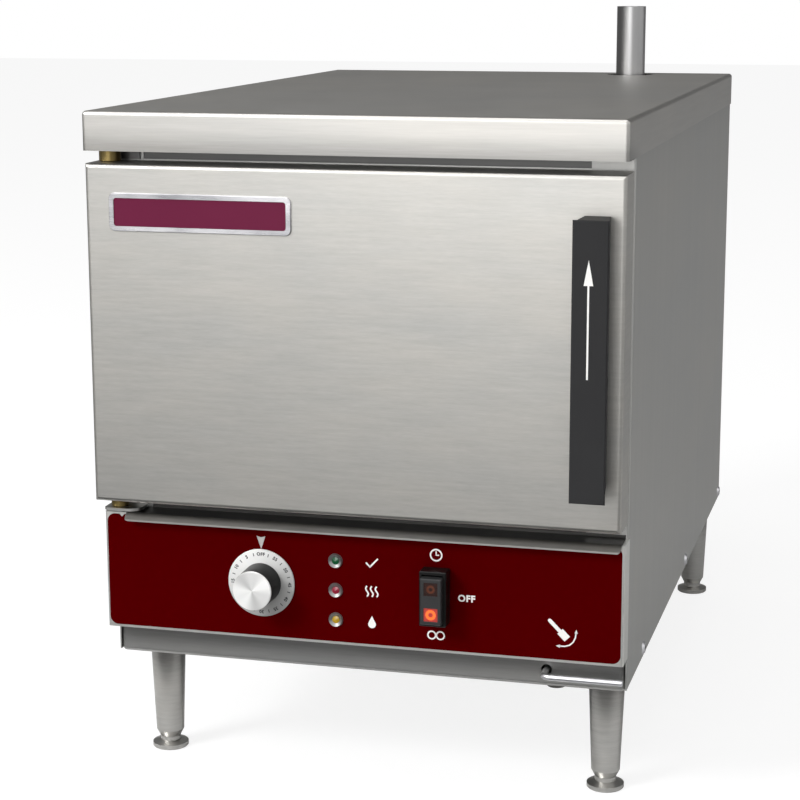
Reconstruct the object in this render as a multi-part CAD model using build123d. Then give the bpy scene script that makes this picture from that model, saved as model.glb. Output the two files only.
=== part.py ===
from build123d import *
from math import radians, sin
import os

# A countertop cabinet steamer. Sizes are in millimetres: X to the right, Y to the back, Z up.
# Places are given from the middle of the cabinet (X), the front of the top cover (Y) and the
# underside of the cabinet (Z). save() moves each piece so that the feet stand on Z = 0 and the
# origin lies under the middle of the whole.

# Clearances
fit_gap = 0.1
seat_gap = 0.3

# Cabinet
sheet = 1.2
cover_sheet = 1.0
cover_depth = 744.6
cover_skirt = 33.1
cover_bend = 3.5
roof_space = 67.0
rear_space = 124.6
body_front = 44.4
body_bend = 2.4
panel_bottom = 2.0
front_flange = 36.0
rear_flange = 15.0
top_flange = 15.0
base_front = 47.6
base_wall = 40.0
base_flange = 12.0
base_bend = 4.0
louvre_width = 60.0
louvre_height = 4.0
louvre_pitch = 12.0
louvre_count = 6
louvre_columns = (-110.0, 0.0)
louvre_bottom = 62.0

# Cooking chamber, made for three full-size steam table pans
pan_width = 325.0
pan_depth = 65.0
pan_levels = 3
level_pitch = 70.0
side_room = 17.5
chamber_headroom = 36.0
chamber_lift = 36.5
chamber_corner = 12.0
rim_side = 12.8
rim_margin = 24.0
wool_gap = 1.0
insulation_wall = 25.0
rack_front = 70.0
rack_rear_gap = 30.0
rack_post = 14.0
runner_grip = 4.0
heater_half = 120.0
heater_front = 150.0
heater_rear_gap = 100.0
heater_thickness = 9.0

# Vent pipe
vent_x = 122.0
vent_space = 39.6
vent_radius = 15.75
vent_wall = 1.2
vent_drop = 33.0
vent_rise = 74.0
vent_bend = 40.0
vent_hole_radius = 25.0

# Control row
housing_overhang = 0.4
housing_face = 23.1
housing_bottom = 31.0
housing_height = 104.5
housing_bend = 2.0
overlay_thickness = 0.3
overlay_side = 2.2
overlay_low = 2.3
overlay_high = 1.5
overlay_corner = 7.0
notch_offset = 3.4
notch_half = 5.4
notch_rise = 3.0
notch_depth = 2.5

timer_x = -85.6
timer_lift = 50.2
dial_radius = 30.0
dial_thickness = 1.4
knob_base_radius = 17.8
knob_cap_radius = 17.2
knob_reach = 25.5
knob_cap_thickness = 1.6
timer_shaft_radius = 3.0
timer_shaft_back = 42.0
timer_bush_radius = 5.0
timer_body_width = 52.0
timer_body_depth = 44.0

lamp_x = -19.15
lamp_lifts = {"green": 74.2, "red": 48.1, "yellow": 21.9}
bezel_radius = 6.6
bezel_rise = 1.8
lens_radius = 3.3
lens_crown = 1.1
lamp_barrel_radius = 4.9
lamp_barrel_length = 20.0

switch_x = 69.9
switch_lift = 51.05
switch_width = 23.2
switch_height = 47.7
switch_rise = 15.6
switch_back = 52.0
switch_wall = 1.6
rocker_width = 18.0
rocker_height = 40.0
rocker_drop = 0.55
rocker_rise = 6.5
rocker_throw = 8.0
rocker_depth = 12.0
rocker_pin_radius = 2.0
rocker_pin_reach = 1.2
window_width = 12.0
window_height = 11.5
window_depth = 2.0
window_spread = 22.2

# Drip tray
tray_hinge_gap = 8.5
tray_side = 2.8
tray_sheet = 1.0
tray_bend_y = 22.0
tray_lip_y = 15.0
tray_lip_drop = 5.6
tray_upturn = 3.4
upturn_inset = 16.5
tray_corner = 3.5

# Hinge
hinge_inset = 11.9
hinge_y = 29.0
leaf_thickness = 2.5
leaf_inset = 0.9
leaf_width = 32.5
leaf_reach = 11.5
leaf_round = 12.0
leaf_chamfer = 3.0
leg_plate = 10.0
upper_bush_radius = 9.35
lower_bush_radius = 7.7
bush_height = 10.1
pin_radius = 4.0
pin_depth = 18.0
pin_head_radius = 6.0
pin_head = 2.0

# Door
door_inset = 0.2
door_low = 21.4
door_high = 23.2
door_front = 0.6
door_back = 39.6
door_bend = 3.5
door_return = 14.0
panel_raise = 1.1
gasket_lap = 7.0
gasket_margin = 9.0
gasket_width = 9.0
gasket_corner = 14.0
hinge_block_width = 19.0
hinge_block_front = 12.0
hinge_block_height = 24.0
plate_inset = 21.7
plate_width = 159.5
plate_drop = 23.7
plate_height = 32.0
plate_thickness = 2.0
plate_corner = 5.0
plate_rim = 4.2
plate_recess = 0.7

# Handle and latch
handle_left_reach = 15.0
handle_right_reach = 14.0
handle_low = 31.7
handle_high = 32.3
handle_reach = 31.6
handle_plate = 2.2
handle_lip = 3.3
handle_step = 8.0
wall_left_reach = 10.5
wall_right_reach = 10.1
handle_wall = 2.6
handle_rib_pitch = 44.0
latch_travel = 12.0
latch_inset = 22.9
stud_radius = 4.0
stud_boss_radius = 6.8
stud_low = 52.7
stud_high = 53.9
bar_width = 16.0
bar_thickness = 3.0
bar_overlap = 13.0
guide_low = 33.0
guide_high = 29.0
guide_height = 12.0
guide_sheet = 1.5
hook_height = 8.0
hook_width = 7.0
hook_reach = 14.0
tooth_drop = 7.0
tooth_length = 5.0
spring_radius = 3.6
spring_wall = 1.2
spring_shelf = 8.0
spring_length = 34.0
strike_height = 24.0
strike_side = 2.0
strike_gap = 0.2
strike_pin_radius = 2.5
slot_margin = 1.5

# Drain
lever_inset = 68.7
lever_z = 15.2
lever_radius = 2.75
lever_hole_radius = 4.7
lever_front = 28.0
lever_bend = 6.0
lever_short = 0.3
valve_y = 95.0
valve_radius = 13.0
valve_top = 44.0
ball_radius = 8.0
bore_radius = 4.0
stem_radius = 3.5
packing_length = 8.0
drain_radius = 11.0
drain_wall = 1.2
outlet_radius = 8.0
outlet_drop = 15.0
neck_radius = 9.0
neck_drop = 1.0

# Inside the base
contactor_size = (45.0, 60.0, 48.0)
contactor_place = (-120.0, 330.0)
terminal_size = (70.0, 28.0, 22.0)
terminal_x = -120.0
terminal_space = 104.6
terminal_poles = 5
gland_inset = 48.9
gland_z = 95.0
gland_radius = 11.0
gland_bore_radius = 5.5
gland_nut = 15.0
nut_height = 6.0
gland_reach = 16.0

# Fasteners and legs
screw_front = 141.5
screw_space = 17.1
screw_z = 10.2
screw_head_radius = 6.5
screw_head = 2.1
screw_radius = 2.9
leg_inset = 25.0
leg_front = 100.9
leg_space = 29.6
leg_top_radius = 16.2
leg_low_radius = 12.6
leg_neck_radius = 9.5
leg_length = 96.0
leg_end = 6.0
leg_bore_radius = 8.2
leg_crown = 20.0
foot_show = 10.7
foot_neck_radius = 9.3
foot_radius = 16.4
foot_edge = 4.3
foot_flare_top = 6.7
foot_stem_radius = 8.0
foot_stem_length = 32.0

# Worked out from the sizes above
chamber_half = pan_width / 2 + side_room
rim_half = chamber_half + rim_side
body_half = rim_half + fit_gap + front_flange
body_inner = body_half - sheet
cover_half = body_half + fit_gap + cover_sheet
base_half = body_inner - fit_gap
housing_half = body_half + housing_overhang
overlay_half = housing_half - overlay_side
door_half = body_half - door_inset
gasket_half = chamber_half + gasket_lap

housing_top = housing_bottom + housing_height
overlay_bottom = housing_bottom + overlay_low
overlay_top = housing_top - overlay_high
timer_z = housing_bottom + timer_lift
lamp_heights = {colour: housing_bottom + lift for colour, lift in lamp_lifts.items()}
switch_z = housing_bottom + switch_lift
rocker_z = switch_z - rocker_drop
chamber_bottom = housing_top + chamber_lift
chamber_top = chamber_bottom + pan_levels * level_pitch + chamber_headroom
rim_bottom = chamber_bottom - rim_margin
rim_top = chamber_top + rim_margin
gasket_bottom = chamber_bottom - gasket_margin
gasket_top = chamber_top + gasket_margin
door_bottom = chamber_bottom - door_low
door_top = chamber_top + door_high
cover_top = chamber_top + roof_space
under_cover = cover_top - cover_sheet
panel_top = under_cover - cover_bend + cover_sheet
vent_z = chamber_top - vent_drop

body_back = cover_depth - cover_sheet - fit_gap
base_back = body_back - sheet - fit_gap
frame_front = body_front + sheet
frame_back = frame_front + sheet
chamber_back = cover_depth - rear_space
rack_back = chamber_back - rack_rear_gap
heater_back = chamber_back - heater_rear_gap
vent_y = cover_depth - vent_space
terminal_place = (terminal_x, cover_depth - terminal_space)
overlay_front = housing_face - overlay_thickness
dial_back = overlay_front - seat_gap
dial_front = dial_back - dial_thickness
handle_front = door_front + seat_gap - handle_reach
gland_end = body_back + gland_reach
middle = (handle_front + gland_end) / 2

hinge_x = -body_half + hinge_inset
leaf_left = -body_half + leaf_inset
leaf_right = leaf_left + leaf_width
leaf_front = hinge_y - leaf_reach
notch_x = hinge_x + notch_offset
notch_top = overlay_top + notch_rise
notch_bottom = overlay_top - notch_depth
tray_left = hinge_x + tray_hinge_gap
tray_right = housing_half - tray_side
tray_upturn_left = tray_left + upturn_inset
plate_left = -door_half + plate_inset
plate_right = plate_left + plate_width
plate_top = door_top - plate_drop
plate_bottom = plate_top - plate_height

latch_x = body_half - latch_inset
handle_left = latch_x - handle_left_reach
handle_right = latch_x + handle_right_reach
handle_wall_left = latch_x - wall_left_reach
handle_wall_right = latch_x + wall_right_reach
handle_bottom = door_bottom + handle_low
handle_top = door_top - handle_high
stud_heights = (handle_bottom + stud_low, handle_top - stud_high)
bar_bottom = stud_heights[0] - bar_overlap
bar_top = stud_heights[1] + bar_overlap
hook_z = (stud_heights[0] + stud_heights[1]) / 2
guide_heights = (hook_z - guide_low, hook_z + guide_high)
strike_half = hook_width / 2 + slot_margin + strike_side
frame_half = latch_x - strike_half - strike_gap
wool_half = latch_x - strike_half - wool_gap

gland_x = -body_half + gland_inset
lever_x = body_half - lever_inset
lever_end = body_half - lever_short
screw_back = cover_depth - screw_space
screw_rows = (screw_front, (screw_front + screw_back) / 2, screw_back)
leg_x = body_half - leg_inset
leg_rows = (leg_front, cover_depth - leg_space)
leg_taper = leg_length - leg_end
leg_height = leg_length + foot_show


def save(name, shape):
    """Stand a finished piece on the ground, centre it and write it out."""
    export_step(Pos(0, -middle, leg_height) * shape, f"parts/{name}.step")


def block(x, y, z):
    """A box between two limits on each axis."""
    place = Pos((x[0] + x[1]) / 2, (y[0] + y[1]) / 2, (z[0] + z[1]) / 2)
    return place * Box(abs(x[1] - x[0]), abs(y[1] - y[0]), abs(z[1] - z[0]))


def facing(y):
    """A plane that faces the front at a given depth, drawn with X across and Z up."""
    return Plane(origin=(0, y, 0), x_dir=(1, 0, 0), z_dir=(0, -1, 0))


def slab(sketch, front, back):
    """A sketch of the front view made solid from its front to its back."""
    return extrude(facing(front) * sketch, amount=front - back)


def upright(sketch, bottom, top):
    """A sketch of the plan made solid from its bottom to its top."""
    return extrude(Plane.XY.offset(bottom) * sketch, amount=top - bottom)


def panel_outline(left, right, bottom, top, corner=0):
    """A rectangle between four limits, with round corners if they have a radius."""
    place = Pos((left + right) / 2, (bottom + top) / 2)
    if corner > 0:
        return place * RectangleRounded(right - left, top - bottom, corner)
    return place * Rectangle(right - left, top - bottom)


def turned(profile, at, direction=(0, 0, 1)):
    """A turned piece: pairs of radius and distance, spun about a direction from a point."""
    outline = make_face(Polyline(*[(radius, 0, along) for radius, along in profile], close=True))
    return Plane(origin=at, z_dir=direction) * revolve(outline, Axis.Z)


def rod(radius, at, direction, length):
    """A plain round bar from a point."""
    return extrude(Plane(origin=at, z_dir=direction) * Circle(radius), amount=length)


def outer_bends(shape, face_y):
    """The upright bends of a folded piece at one depth."""
    edges = shape.edges().filter_by(Axis.Z)
    return [edge for edge in edges if abs(edge.center().Y - face_y) < 0.01]


right = (1, 0, 0)
back = (0, 1, 0)
front = (0, -1, 0)
up = (0, 0, 1)
down = (0, 0, -1)


# Outer panels
def top_cover():
    outer = block((-cover_half, cover_half), (0, cover_depth), (cover_top - cover_skirt, cover_top))
    low = outer.faces().sort_by(Axis.Z)[0]
    outer = fillet(outer.edges() - low.edges(), cover_bend)
    inner = block(
        (-cover_half + cover_sheet, cover_half - cover_sheet),
        (cover_sheet, cover_depth - cover_sheet),
        (cover_top - cover_skirt - cover_sheet, under_cover),
    )
    low = inner.faces().sort_by(Axis.Z)[0]
    inner = fillet(inner.edges() - low.edges(), cover_bend - cover_sheet)
    vent_hole = rod(vent_hole_radius, (vent_x, vent_y, cover_top - cover_skirt), up, 2 * cover_skirt)
    return outer - inner - vent_hole


def side_panel():
    """The right panel: one sheet folded round the front, the back and the top."""
    middle_y = (body_front + body_back) / 2
    depth = body_back - body_front
    ring = RectangleRounded(2 * body_half, depth, body_bend)
    ring -= RectangleRounded(2 * body_inner, depth - 2 * sheet, body_bend - sheet)
    front_part = panel_outline(body_half - front_flange, body_half, -depth / 2, 0)
    rear_part = panel_outline(body_half - rear_flange, body_half, 0, depth / 2)
    plan = Pos(0, middle_y) * (ring & (front_part + rear_part))
    panel = upright(plan, panel_bottom, panel_top)
    panel += block(
        (body_half - top_flange, body_inner),
        (body_front + sheet, body_back - sheet),
        (panel_top - sheet, panel_top),
    )
    panel -= block(
        (body_half - front_flange - sheet, cover_half),
        (body_front - sheet, base_front),
        (panel_bottom - sheet, housing_top + fit_gap),
    )
    for y in screw_rows:
        panel -= rod(screw_radius + fit_gap, (body_inner - sheet, y, screw_z), right, 3 * sheet)
    return panel


def latch_slot():
    """The slot that lets the hook through the right front flange, with room for its swing."""
    half_width = hook_width / 2 + slot_margin + 0.5
    return block(
        (latch_x - half_width, latch_x + half_width),
        (body_front - sheet, body_front + 2 * sheet),
        (tooth_bottom() - slot_margin, hook_z + hook_height / 2 + latch_travel + slot_margin),
    )


def louvre_places():
    places = []
    for x in louvre_columns:
        for row in range(louvre_count):
            places.append((x, louvre_bottom + row * louvre_pitch))
    return places


def rear_panel():
    bottom = base_wall + fit_gap
    plate_back = body_back - sheet - fit_gap
    plate_front = plate_back - sheet
    half = body_inner - body_bend + sheet - fit_gap
    plate = block((-half, half), (plate_front, plate_back), (bottom, panel_top - sheet - fit_gap))
    plate += block((-half, half), (plate_front - base_flange, plate_back), (bottom, bottom + sheet))
    for x, z in louvre_places():
        reach = plate_back + louvre_height
        hood = Plane(origin=(x - louvre_width / 2, 0, 0), x_dir=back, z_dir=right)
        profile = make_face(Polyline(
            (plate_front, z), (reach, z), (reach, z + sheet),
            (plate_back, z + 2 * louvre_height), (plate_front, z + 2 * louvre_height), close=True,
        ))
        hollow = make_face(Polyline(
            (plate_front - sheet, z - sheet), (reach - sheet, z - sheet), (reach - sheet, z + sheet / 2),
            (plate_back - sheet, z + 2 * louvre_height - sheet),
            (plate_front - sheet, z + 2 * louvre_height - sheet), close=True,
        ))
        plate += extrude(hood * profile, amount=louvre_width)
        inner = Plane(origin=(x - louvre_width / 2 + sheet, 0, 0), x_dir=back, z_dir=right)
        plate -= extrude(inner * hollow, amount=louvre_width - 2 * sheet)
    plate -= rod(gland_radius + fit_gap, (gland_x, plate_front - sheet, gland_z), back, 4 * sheet)
    return plate


def base_pan():
    """The tray that carries everything, with its corners rounded and a flange at the back."""
    outer = block((-base_half, base_half), (base_front, base_back), (0, base_wall))
    outer = fillet(outer.edges().filter_by(Axis.Z) + outer.faces().sort_by(Axis.Z)[0].edges(), base_bend)
    inner = block(
        (-base_half + sheet, base_half - sheet),
        (base_front + sheet, base_back - sheet),
        (sheet, base_wall + sheet),
    )
    inner = fillet(
        inner.edges().filter_by(Axis.Z) + inner.faces().sort_by(Axis.Z)[0].edges(), base_bend - sheet
    )
    pan = outer - inner
    pan += block(
        (-base_half + base_bend, base_half - base_bend),
        (base_back - base_flange, base_back - sheet),
        (base_wall - sheet, base_wall),
    )
    pan -= rod(lever_hole_radius, (lever_x, base_front - sheet, lever_z), back, 3 * sheet)
    pan -= rod(neck_radius + fit_gap, (lever_x, valve_y, -sheet), up, 3 * sheet)
    for side in (-1, 1):
        for y in screw_rows:
            start = (side * (base_half + sheet), y, screw_z)
            pan -= rod(screw_radius + fit_gap, start, (-side, 0, 0), 3 * sheet)
    return pan


def side_screws():
    """Six pan-head screws that hold the side panels to the base."""
    screws = []
    for side in (-1, 1):
        for y in screw_rows:
            head = turned(
                [(0, 0), (screw_head_radius, 0), (screw_head_radius - screw_head, screw_head),
                 (0, screw_head)],
                (side * body_half, y, screw_z), (side, 0, 0),
            )
            shank = rod(screw_radius, (side * body_half, y, screw_z), (-side, 0, 0), 4 * sheet)
            screws.append(head + shank)
    return Compound(screws)


# Chamber
def front_frame():
    bottom = housing_top + fit_gap
    frame = block((-frame_half, frame_half), (frame_front, frame_back), (bottom, under_cover))
    frame += block(
        (-frame_half, frame_half), (frame_front, frame_back + base_flange), (bottom, bottom + sheet)
    )
    opening = panel_outline(
        -chamber_half - fit_gap, chamber_half + fit_gap,
        chamber_bottom - fit_gap, chamber_top + fit_gap, chamber_corner + fit_gap,
    )
    return frame - slab(opening, frame_front - sheet, frame_back + sheet)


def cooking_chamber():
    """A seamless box with a flat rim at its mouth that the door's gasket presses on."""
    outside = panel_outline(-chamber_half, chamber_half, chamber_bottom, chamber_top, chamber_corner)
    inside = panel_outline(
        -chamber_half + sheet, chamber_half - sheet,
        chamber_bottom + sheet, chamber_top - sheet, chamber_corner - sheet,
    )
    rim = panel_outline(-rim_half, rim_half, rim_bottom, rim_top)
    chamber = slab(outside, frame_front, chamber_back) + slab(rim, body_front, frame_front)
    chamber -= slab(inside, body_front - sheet, chamber_back - sheet)
    chamber -= rod(drain_radius - drain_wall, (lever_x, valve_y, chamber_bottom - sheet), up, 3 * sheet)
    chamber -= rod(vent_radius - vent_wall, (vent_x, chamber_back - 2 * sheet, vent_z), back, 3 * sheet)
    return chamber


def chamber_insulation():
    """Mineral wool over the top, the sides and the back of the chamber."""
    outside = panel_outline(
        -wool_half, wool_half,
        chamber_bottom, chamber_top + insulation_wall, chamber_corner,
    )
    inside = panel_outline(
        -chamber_half - fit_gap, chamber_half + fit_gap,
        chamber_bottom - insulation_wall, chamber_top + fit_gap, chamber_corner,
    )
    wool = slab(outside, frame_back + fit_gap, chamber_back + insulation_wall)
    wool -= slab(inside, frame_front, chamber_back + fit_gap)
    return wool - rod(vent_radius + fit_gap, (vent_x, chamber_back, vent_z), back, 2 * insulation_wall)


def pan_rack():
    """The right rack: a sheet with a runner for each pan and windows between them."""
    outer = chamber_half - sheet - seat_gap
    runner_edge = pan_width / 2 - runner_grip
    low = chamber_bottom + chamber_corner + seat_gap
    first = low + pan_depth + runner_grip
    high = first + (pan_levels - 1) * level_pitch + 2 * runner_grip
    rack = block((outer - sheet, outer), (rack_front, rack_back), (low, high))
    for level in range(pan_levels):
        z = first + level * level_pitch
        rack += block((runner_edge, outer), (rack_front, rack_back), (z, z + sheet))
        window_top = z - runner_grip
        window_bottom = window_top - level_pitch + 4 * runner_grip
        windows = 3
        span = (rack_back - rack_front - rack_post) / windows
        for index in range(windows):
            start = rack_front + rack_post + index * span
            rack -= block((outer - 2 * sheet, outer + sheet), (start, start + span - rack_post),
                          (window_bottom, window_top))
    return rack


def heater_plate():
    """A cast heater clamped under the chamber, with the element's two ends at the back."""
    plate = block(
        (-heater_half, heater_half), (heater_front, heater_back),
        (chamber_bottom - heater_thickness, chamber_bottom),
    )
    plate = fillet(plate.edges().filter_by(Axis.Z), chamber_corner)
    for side in (-1, 1):
        start = (side * heater_half / 4, heater_back, chamber_bottom - heater_thickness / 2)
        plate += rod(heater_thickness / 3, start, back, 4 * heater_thickness)
    return plate


def vent_pipe():
    """Steam leaves the back of the chamber and rises through the cover."""
    path = FilletPolyline(
        (vent_x, chamber_back, vent_z), (vent_x, vent_y, vent_z),
        (vent_x, vent_y, cover_top + vent_rise), radius=vent_bend,
    )
    start = Plane(origin=(vent_x, chamber_back, vent_z), z_dir=back)
    return sweep(start * (Circle(vent_radius) - Circle(vent_radius - vent_wall)), path=path)


# Control row
def switch_opening(margin):
    half_width = switch_width / 2 - switch_wall + margin
    half_height = switch_height / 2 - switch_wall + margin
    return panel_outline(
        switch_x - half_width, switch_x + half_width, switch_z - half_height, switch_z + half_height
    )


def panel_holes(front_y, back_y):
    """The openings for the timer, the lamps and the switch through the panel's front."""
    holes = slab(switch_opening(fit_gap), front_y, back_y)
    holes += rod(timer_bush_radius + fit_gap, (timer_x, front_y, timer_z), back, back_y - front_y)
    for z in lamp_heights.values():
        holes += rod(lamp_barrel_radius + fit_gap, (lamp_x, front_y, z), back, back_y - front_y)
    return holes


def control_housing():
    outer = block(
        (-housing_half, housing_half), (housing_face, base_front - fit_gap), (housing_bottom, housing_top)
    )
    outer = fillet(outer_bends(outer, housing_face), housing_bend)
    inner = block(
        (-housing_half + sheet, housing_half - sheet),
        (housing_face + sheet, base_front + sheet),
        (housing_bottom + sheet, housing_top - sheet),
    )
    inner = fillet(outer_bends(inner, housing_face + sheet), housing_bend - sheet)
    return outer - inner - panel_holes(housing_face - sheet, housing_face + 2 * sheet)


def control_overlay():
    """The printed skin on the panel, with a notch that clears the hinge at its top left."""
    outline = panel_outline(-overlay_half, overlay_half, overlay_bottom, overlay_top, overlay_corner)
    notch = make_face(Polyline(
        (notch_x - notch_half, notch_top), (notch_x + notch_half, notch_top),
        (notch_x, notch_bottom), close=True,
    ))
    skin = slab(outline - notch, overlay_front, housing_face)
    return skin - panel_holes(overlay_front - sheet, housing_face + sheet)


def lamp_bezel(z):
    """A polished ring with a sloping mouth round its lens, and a barrel through the panel."""
    return turned(
        [(lens_radius, -lamp_barrel_length), (lamp_barrel_radius, -lamp_barrel_length),
         (lamp_barrel_radius, 0), (bezel_radius, 0), (bezel_radius - bezel_rise / 2, bezel_rise),
         (lens_radius, 0)],
        (lamp_x, overlay_front, z), front,
    )


def lamp_lens(z):
    radius = lens_radius - fit_gap / 2
    return turned(
        [(0, -lamp_barrel_length), (radius, -lamp_barrel_length), (radius, 0), (0, lens_crown)],
        (lamp_x, overlay_front, z), front,
    )


def timer_body():
    """The clockwork case behind the panel and the threaded bush that holds it there."""
    case_front = housing_face + sheet
    half = timer_body_width / 2
    case = block(
        (timer_x - half, timer_x + half), (case_front, case_front + timer_body_depth),
        (timer_z - half, timer_z + half),
    )
    case = fillet(case.edges().filter_by(Axis.Y), 4)
    case += rod(timer_bush_radius, (timer_x, case_front, timer_z), front, case_front - overlay_front)
    bore = rod(timer_shaft_radius + fit_gap, (timer_x, overlay_front - sheet, timer_z), back,
               timer_shaft_back)
    return case - bore


def timer_shaft():
    """The timer's spindle, flattened where the knob grips it."""
    start = dial_front - knob_reach / 2
    length = timer_shaft_back + overlay_front - sheet - start - fit_gap
    spindle = rod(timer_shaft_radius, (timer_x, start, timer_z), back, length)
    flat = block(
        (timer_x - dial_radius, timer_x + dial_radius), (start - 1, dial_front),
        (timer_z + timer_shaft_radius * 0.6, timer_z + dial_radius),
    )
    return spindle - flat


def timer_dial():
    """The ring of numbers, which turns with the knob."""
    ring = rod(dial_radius, (timer_x, dial_front, timer_z), back, dial_thickness)
    ring = chamfer(ring.edges().group_by(Axis.Y)[0], dial_thickness / 3)
    return ring - rod(timer_shaft_radius, (timer_x, dial_front - 1, timer_z), back, dial_thickness + 2)


def timer_knob():
    grip = knob_reach - knob_cap_thickness
    body = turned(
        [(0, 0), (knob_base_radius, 0), (knob_cap_radius, grip), (0, grip)],
        (timer_x, dial_front, timer_z), front,
    )
    return body - timer_shaft()


def knob_cap():
    return turned(
        [(0, 0), (knob_cap_radius, 0), (knob_cap_radius, knob_cap_thickness * 0.6),
         (knob_cap_radius - 0.6, knob_cap_thickness), (0, knob_cap_thickness)],
        (timer_x, dial_front - knob_reach + knob_cap_thickness, timer_z), front,
    )


def switch_housing():
    """The switch's raised bezel and its body, with a well that the rocker tips in."""
    bezel_front = overlay_front - switch_rise + overlay_thickness
    half_width = switch_width / 2
    half_height = switch_height / 2
    rim = panel_outline(
        switch_x - half_width, switch_x + half_width, switch_z - half_height, switch_z + half_height, 1.0
    )
    housing = slab(rim, bezel_front, overlay_front)
    housing = chamfer(housing.faces().sort_by(Axis.Y)[0].edges(), 0.6)
    housing += slab(switch_opening(0), overlay_front, switch_back)
    swing = rocker_reach() * sin(radians(rocker_throw))
    well = panel_outline(
        switch_x - rocker_width / 2 - seat_gap, switch_x + rocker_width / 2 + seat_gap,
        rocker_z - rocker_height / 2 - swing, rocker_z + rocker_height / 2 + swing,
    )
    housing -= slab(well, bezel_front - sheet, overlay_front)
    return housing - rocker_pins(fit_gap)


def rocker_pins(margin):
    """The two short pins that the rocker tips on, or the holes for them."""
    reach = rocker_width / 2 + rocker_pin_reach + margin
    start = (switch_x - reach, rocker_pivot(), rocker_z)
    return rod(rocker_pin_radius + margin, start, right, 2 * reach)


def rocker_front():
    return overlay_front - switch_rise + overlay_thickness - rocker_rise


def rocker_pivot():
    """Depth of the rocker's axis."""
    return rocker_front() + rocker_depth


def rocker_reach():
    """How far the rocker's front stands out from its axis."""
    return rocker_pivot() - rocker_front()


def rocker_windows():
    """The two lamp windows as front-view outlines, the upper one first."""
    outlines = []
    for side in (1, -1):
        z = rocker_z + side * window_spread / 2
        outlines.append(panel_outline(
            switch_x - window_width / 2, switch_x + window_width / 2,
            z - window_height / 2, z + window_height / 2,
        ))
    return outlines


def switch_rocker():
    """A flat-faced rocker whose ends narrow towards its axis."""
    low = rocker_z - rocker_height / 2
    high = rocker_z + rocker_height / 2
    tuck = rocker_height / 4
    side = make_face(Polyline(
        (rocker_front(), low), (rocker_front(), high), (rocker_pivot() - 2, high),
        (rocker_pivot() + 4, high - tuck), (rocker_pivot() + 4, low + tuck),
        (rocker_pivot() - 2, low), close=True,
    ))
    start = Plane(origin=(switch_x - rocker_width / 2, 0, 0), x_dir=back, z_dir=right)
    rocker = extrude(start * side, amount=rocker_width)
    rocker = chamfer(rocker.faces().sort_by(Axis.Y)[0].edges(), 0.8) + rocker_pins(0)
    for outline in rocker_windows():
        rocker -= slab(outline, rocker_front() - 1, rocker_front() + window_depth)
    return rocker


def rocker_window(index):
    return slab(rocker_windows()[index], rocker_front() + 0.4, rocker_front() + window_depth)


def contactor():
    """The heater's contactor on its rail foot, with a raised middle."""
    width, depth, height = contactor_size
    x, y = contactor_place
    body = block((x - width / 2, x + width / 2), (y - depth / 2, y + depth / 2), (sheet, sheet + height * 0.6))
    body += block(
        (x - width / 2, x + width / 2), (y - depth / 4, y + depth / 4),
        (sheet + height * 0.6, sheet + height),
    )
    return body


def terminal_block():
    """A row of poles parted by ribs, where the supply comes in."""
    width, depth, height = terminal_size
    x, y = terminal_place
    body = block((x - width / 2, x + width / 2), (y - depth / 2, y + depth / 2), (sheet, sheet + height))
    pitch = width / terminal_poles
    for pole in range(terminal_poles):
        centre = x - width / 2 + (pole + 0.5) * pitch
        for side in (-1, 1):
            body -= block(
                (centre - pitch * 0.35, centre + pitch * 0.35),
                (y + side * depth / 6, y + side * depth),
                (sheet + height / 2, sheet + 2 * height),
            )
    return body


def cable_gland():
    """The supply inlet: a threaded gland with a nut on each side of the rear panel."""
    plate_back = base_back
    gland_start = plate_back - 4 * sheet - nut_height
    nut = Pos(gland_x, gland_z) * RegularPolygon(gland_nut, 6)
    gland = rod(gland_radius, (gland_x, gland_start, gland_z), back, gland_end - gland_start)
    gland += slab(nut, plate_back, plate_back + nut_height)
    gland += slab(nut, plate_back - sheet - nut_height, plate_back - sheet)
    gland = chamfer(gland.edges().group_by(Axis.Y)[-1], 2)
    bore = rod(gland_bore_radius, (gland_x, gland_start - sheet, gland_z), back,
               gland_end - gland_start + 2 * sheet)
    return gland - bore


def drip_tray():
    """A sheet that lies on the housing, turned up at the back and down over the panel."""
    bottom = housing_top + fit_gap
    top = bottom + tray_sheet
    rear = body_front - fit_gap
    lip = bottom - tray_lip_drop
    side = make_face(Polyline(
        (rear, bottom), (tray_bend_y, bottom), (tray_lip_y + tray_sheet, lip + tray_sheet),
        (tray_lip_y + tray_sheet, lip), (tray_lip_y, lip), (tray_lip_y, lip + 1.5 * tray_sheet),
        (tray_bend_y - tray_sheet / 2, top), (rear, top), close=True,
    ))
    start = Plane(origin=(tray_left, 0, 0), x_dir=back, z_dir=right)
    tray = extrude(start * side, amount=tray_right - tray_left)
    tray += block((tray_upturn_left, tray_right), (rear - tray_sheet, rear), (bottom, bottom + tray_upturn))
    outline = panel_outline(tray_left, tray_right, lip, lip + 4 * tray_corner, tray_corner)
    return tray & slab(outline, 0, body_front)


# Hinge
def hinge_bracket(leaf_z, leg_side):
    """A leaf that carries the pin and a short leg against the body, above or below it."""
    low, high = sorted((leaf_z, leaf_z - leg_side * leaf_thickness))
    leaf = block((leaf_left, leaf_right), (leaf_front, body_front), (low, high))
    uprights = leaf.edges().filter_by(Axis.Z).group_by(Axis.Y)[0].sort_by(Axis.X)
    leaf = fillet(uprights[1], leaf_round)
    uprights = leaf.edges().filter_by(Axis.Z).group_by(Axis.Y)[0].sort_by(Axis.X)
    leaf = chamfer(uprights[0], leaf_chamfer)
    leaf += block(
        (leaf_left, leaf_right), (body_front - leaf_thickness, body_front),
        (leaf_z, leaf_z + leg_side * (leg_plate - 2 * seat_gap)),
    )
    bore = rod(pin_radius, (hinge_x, hinge_y, low - 1), up, leaf_thickness + 2)
    return leaf - bore


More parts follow.
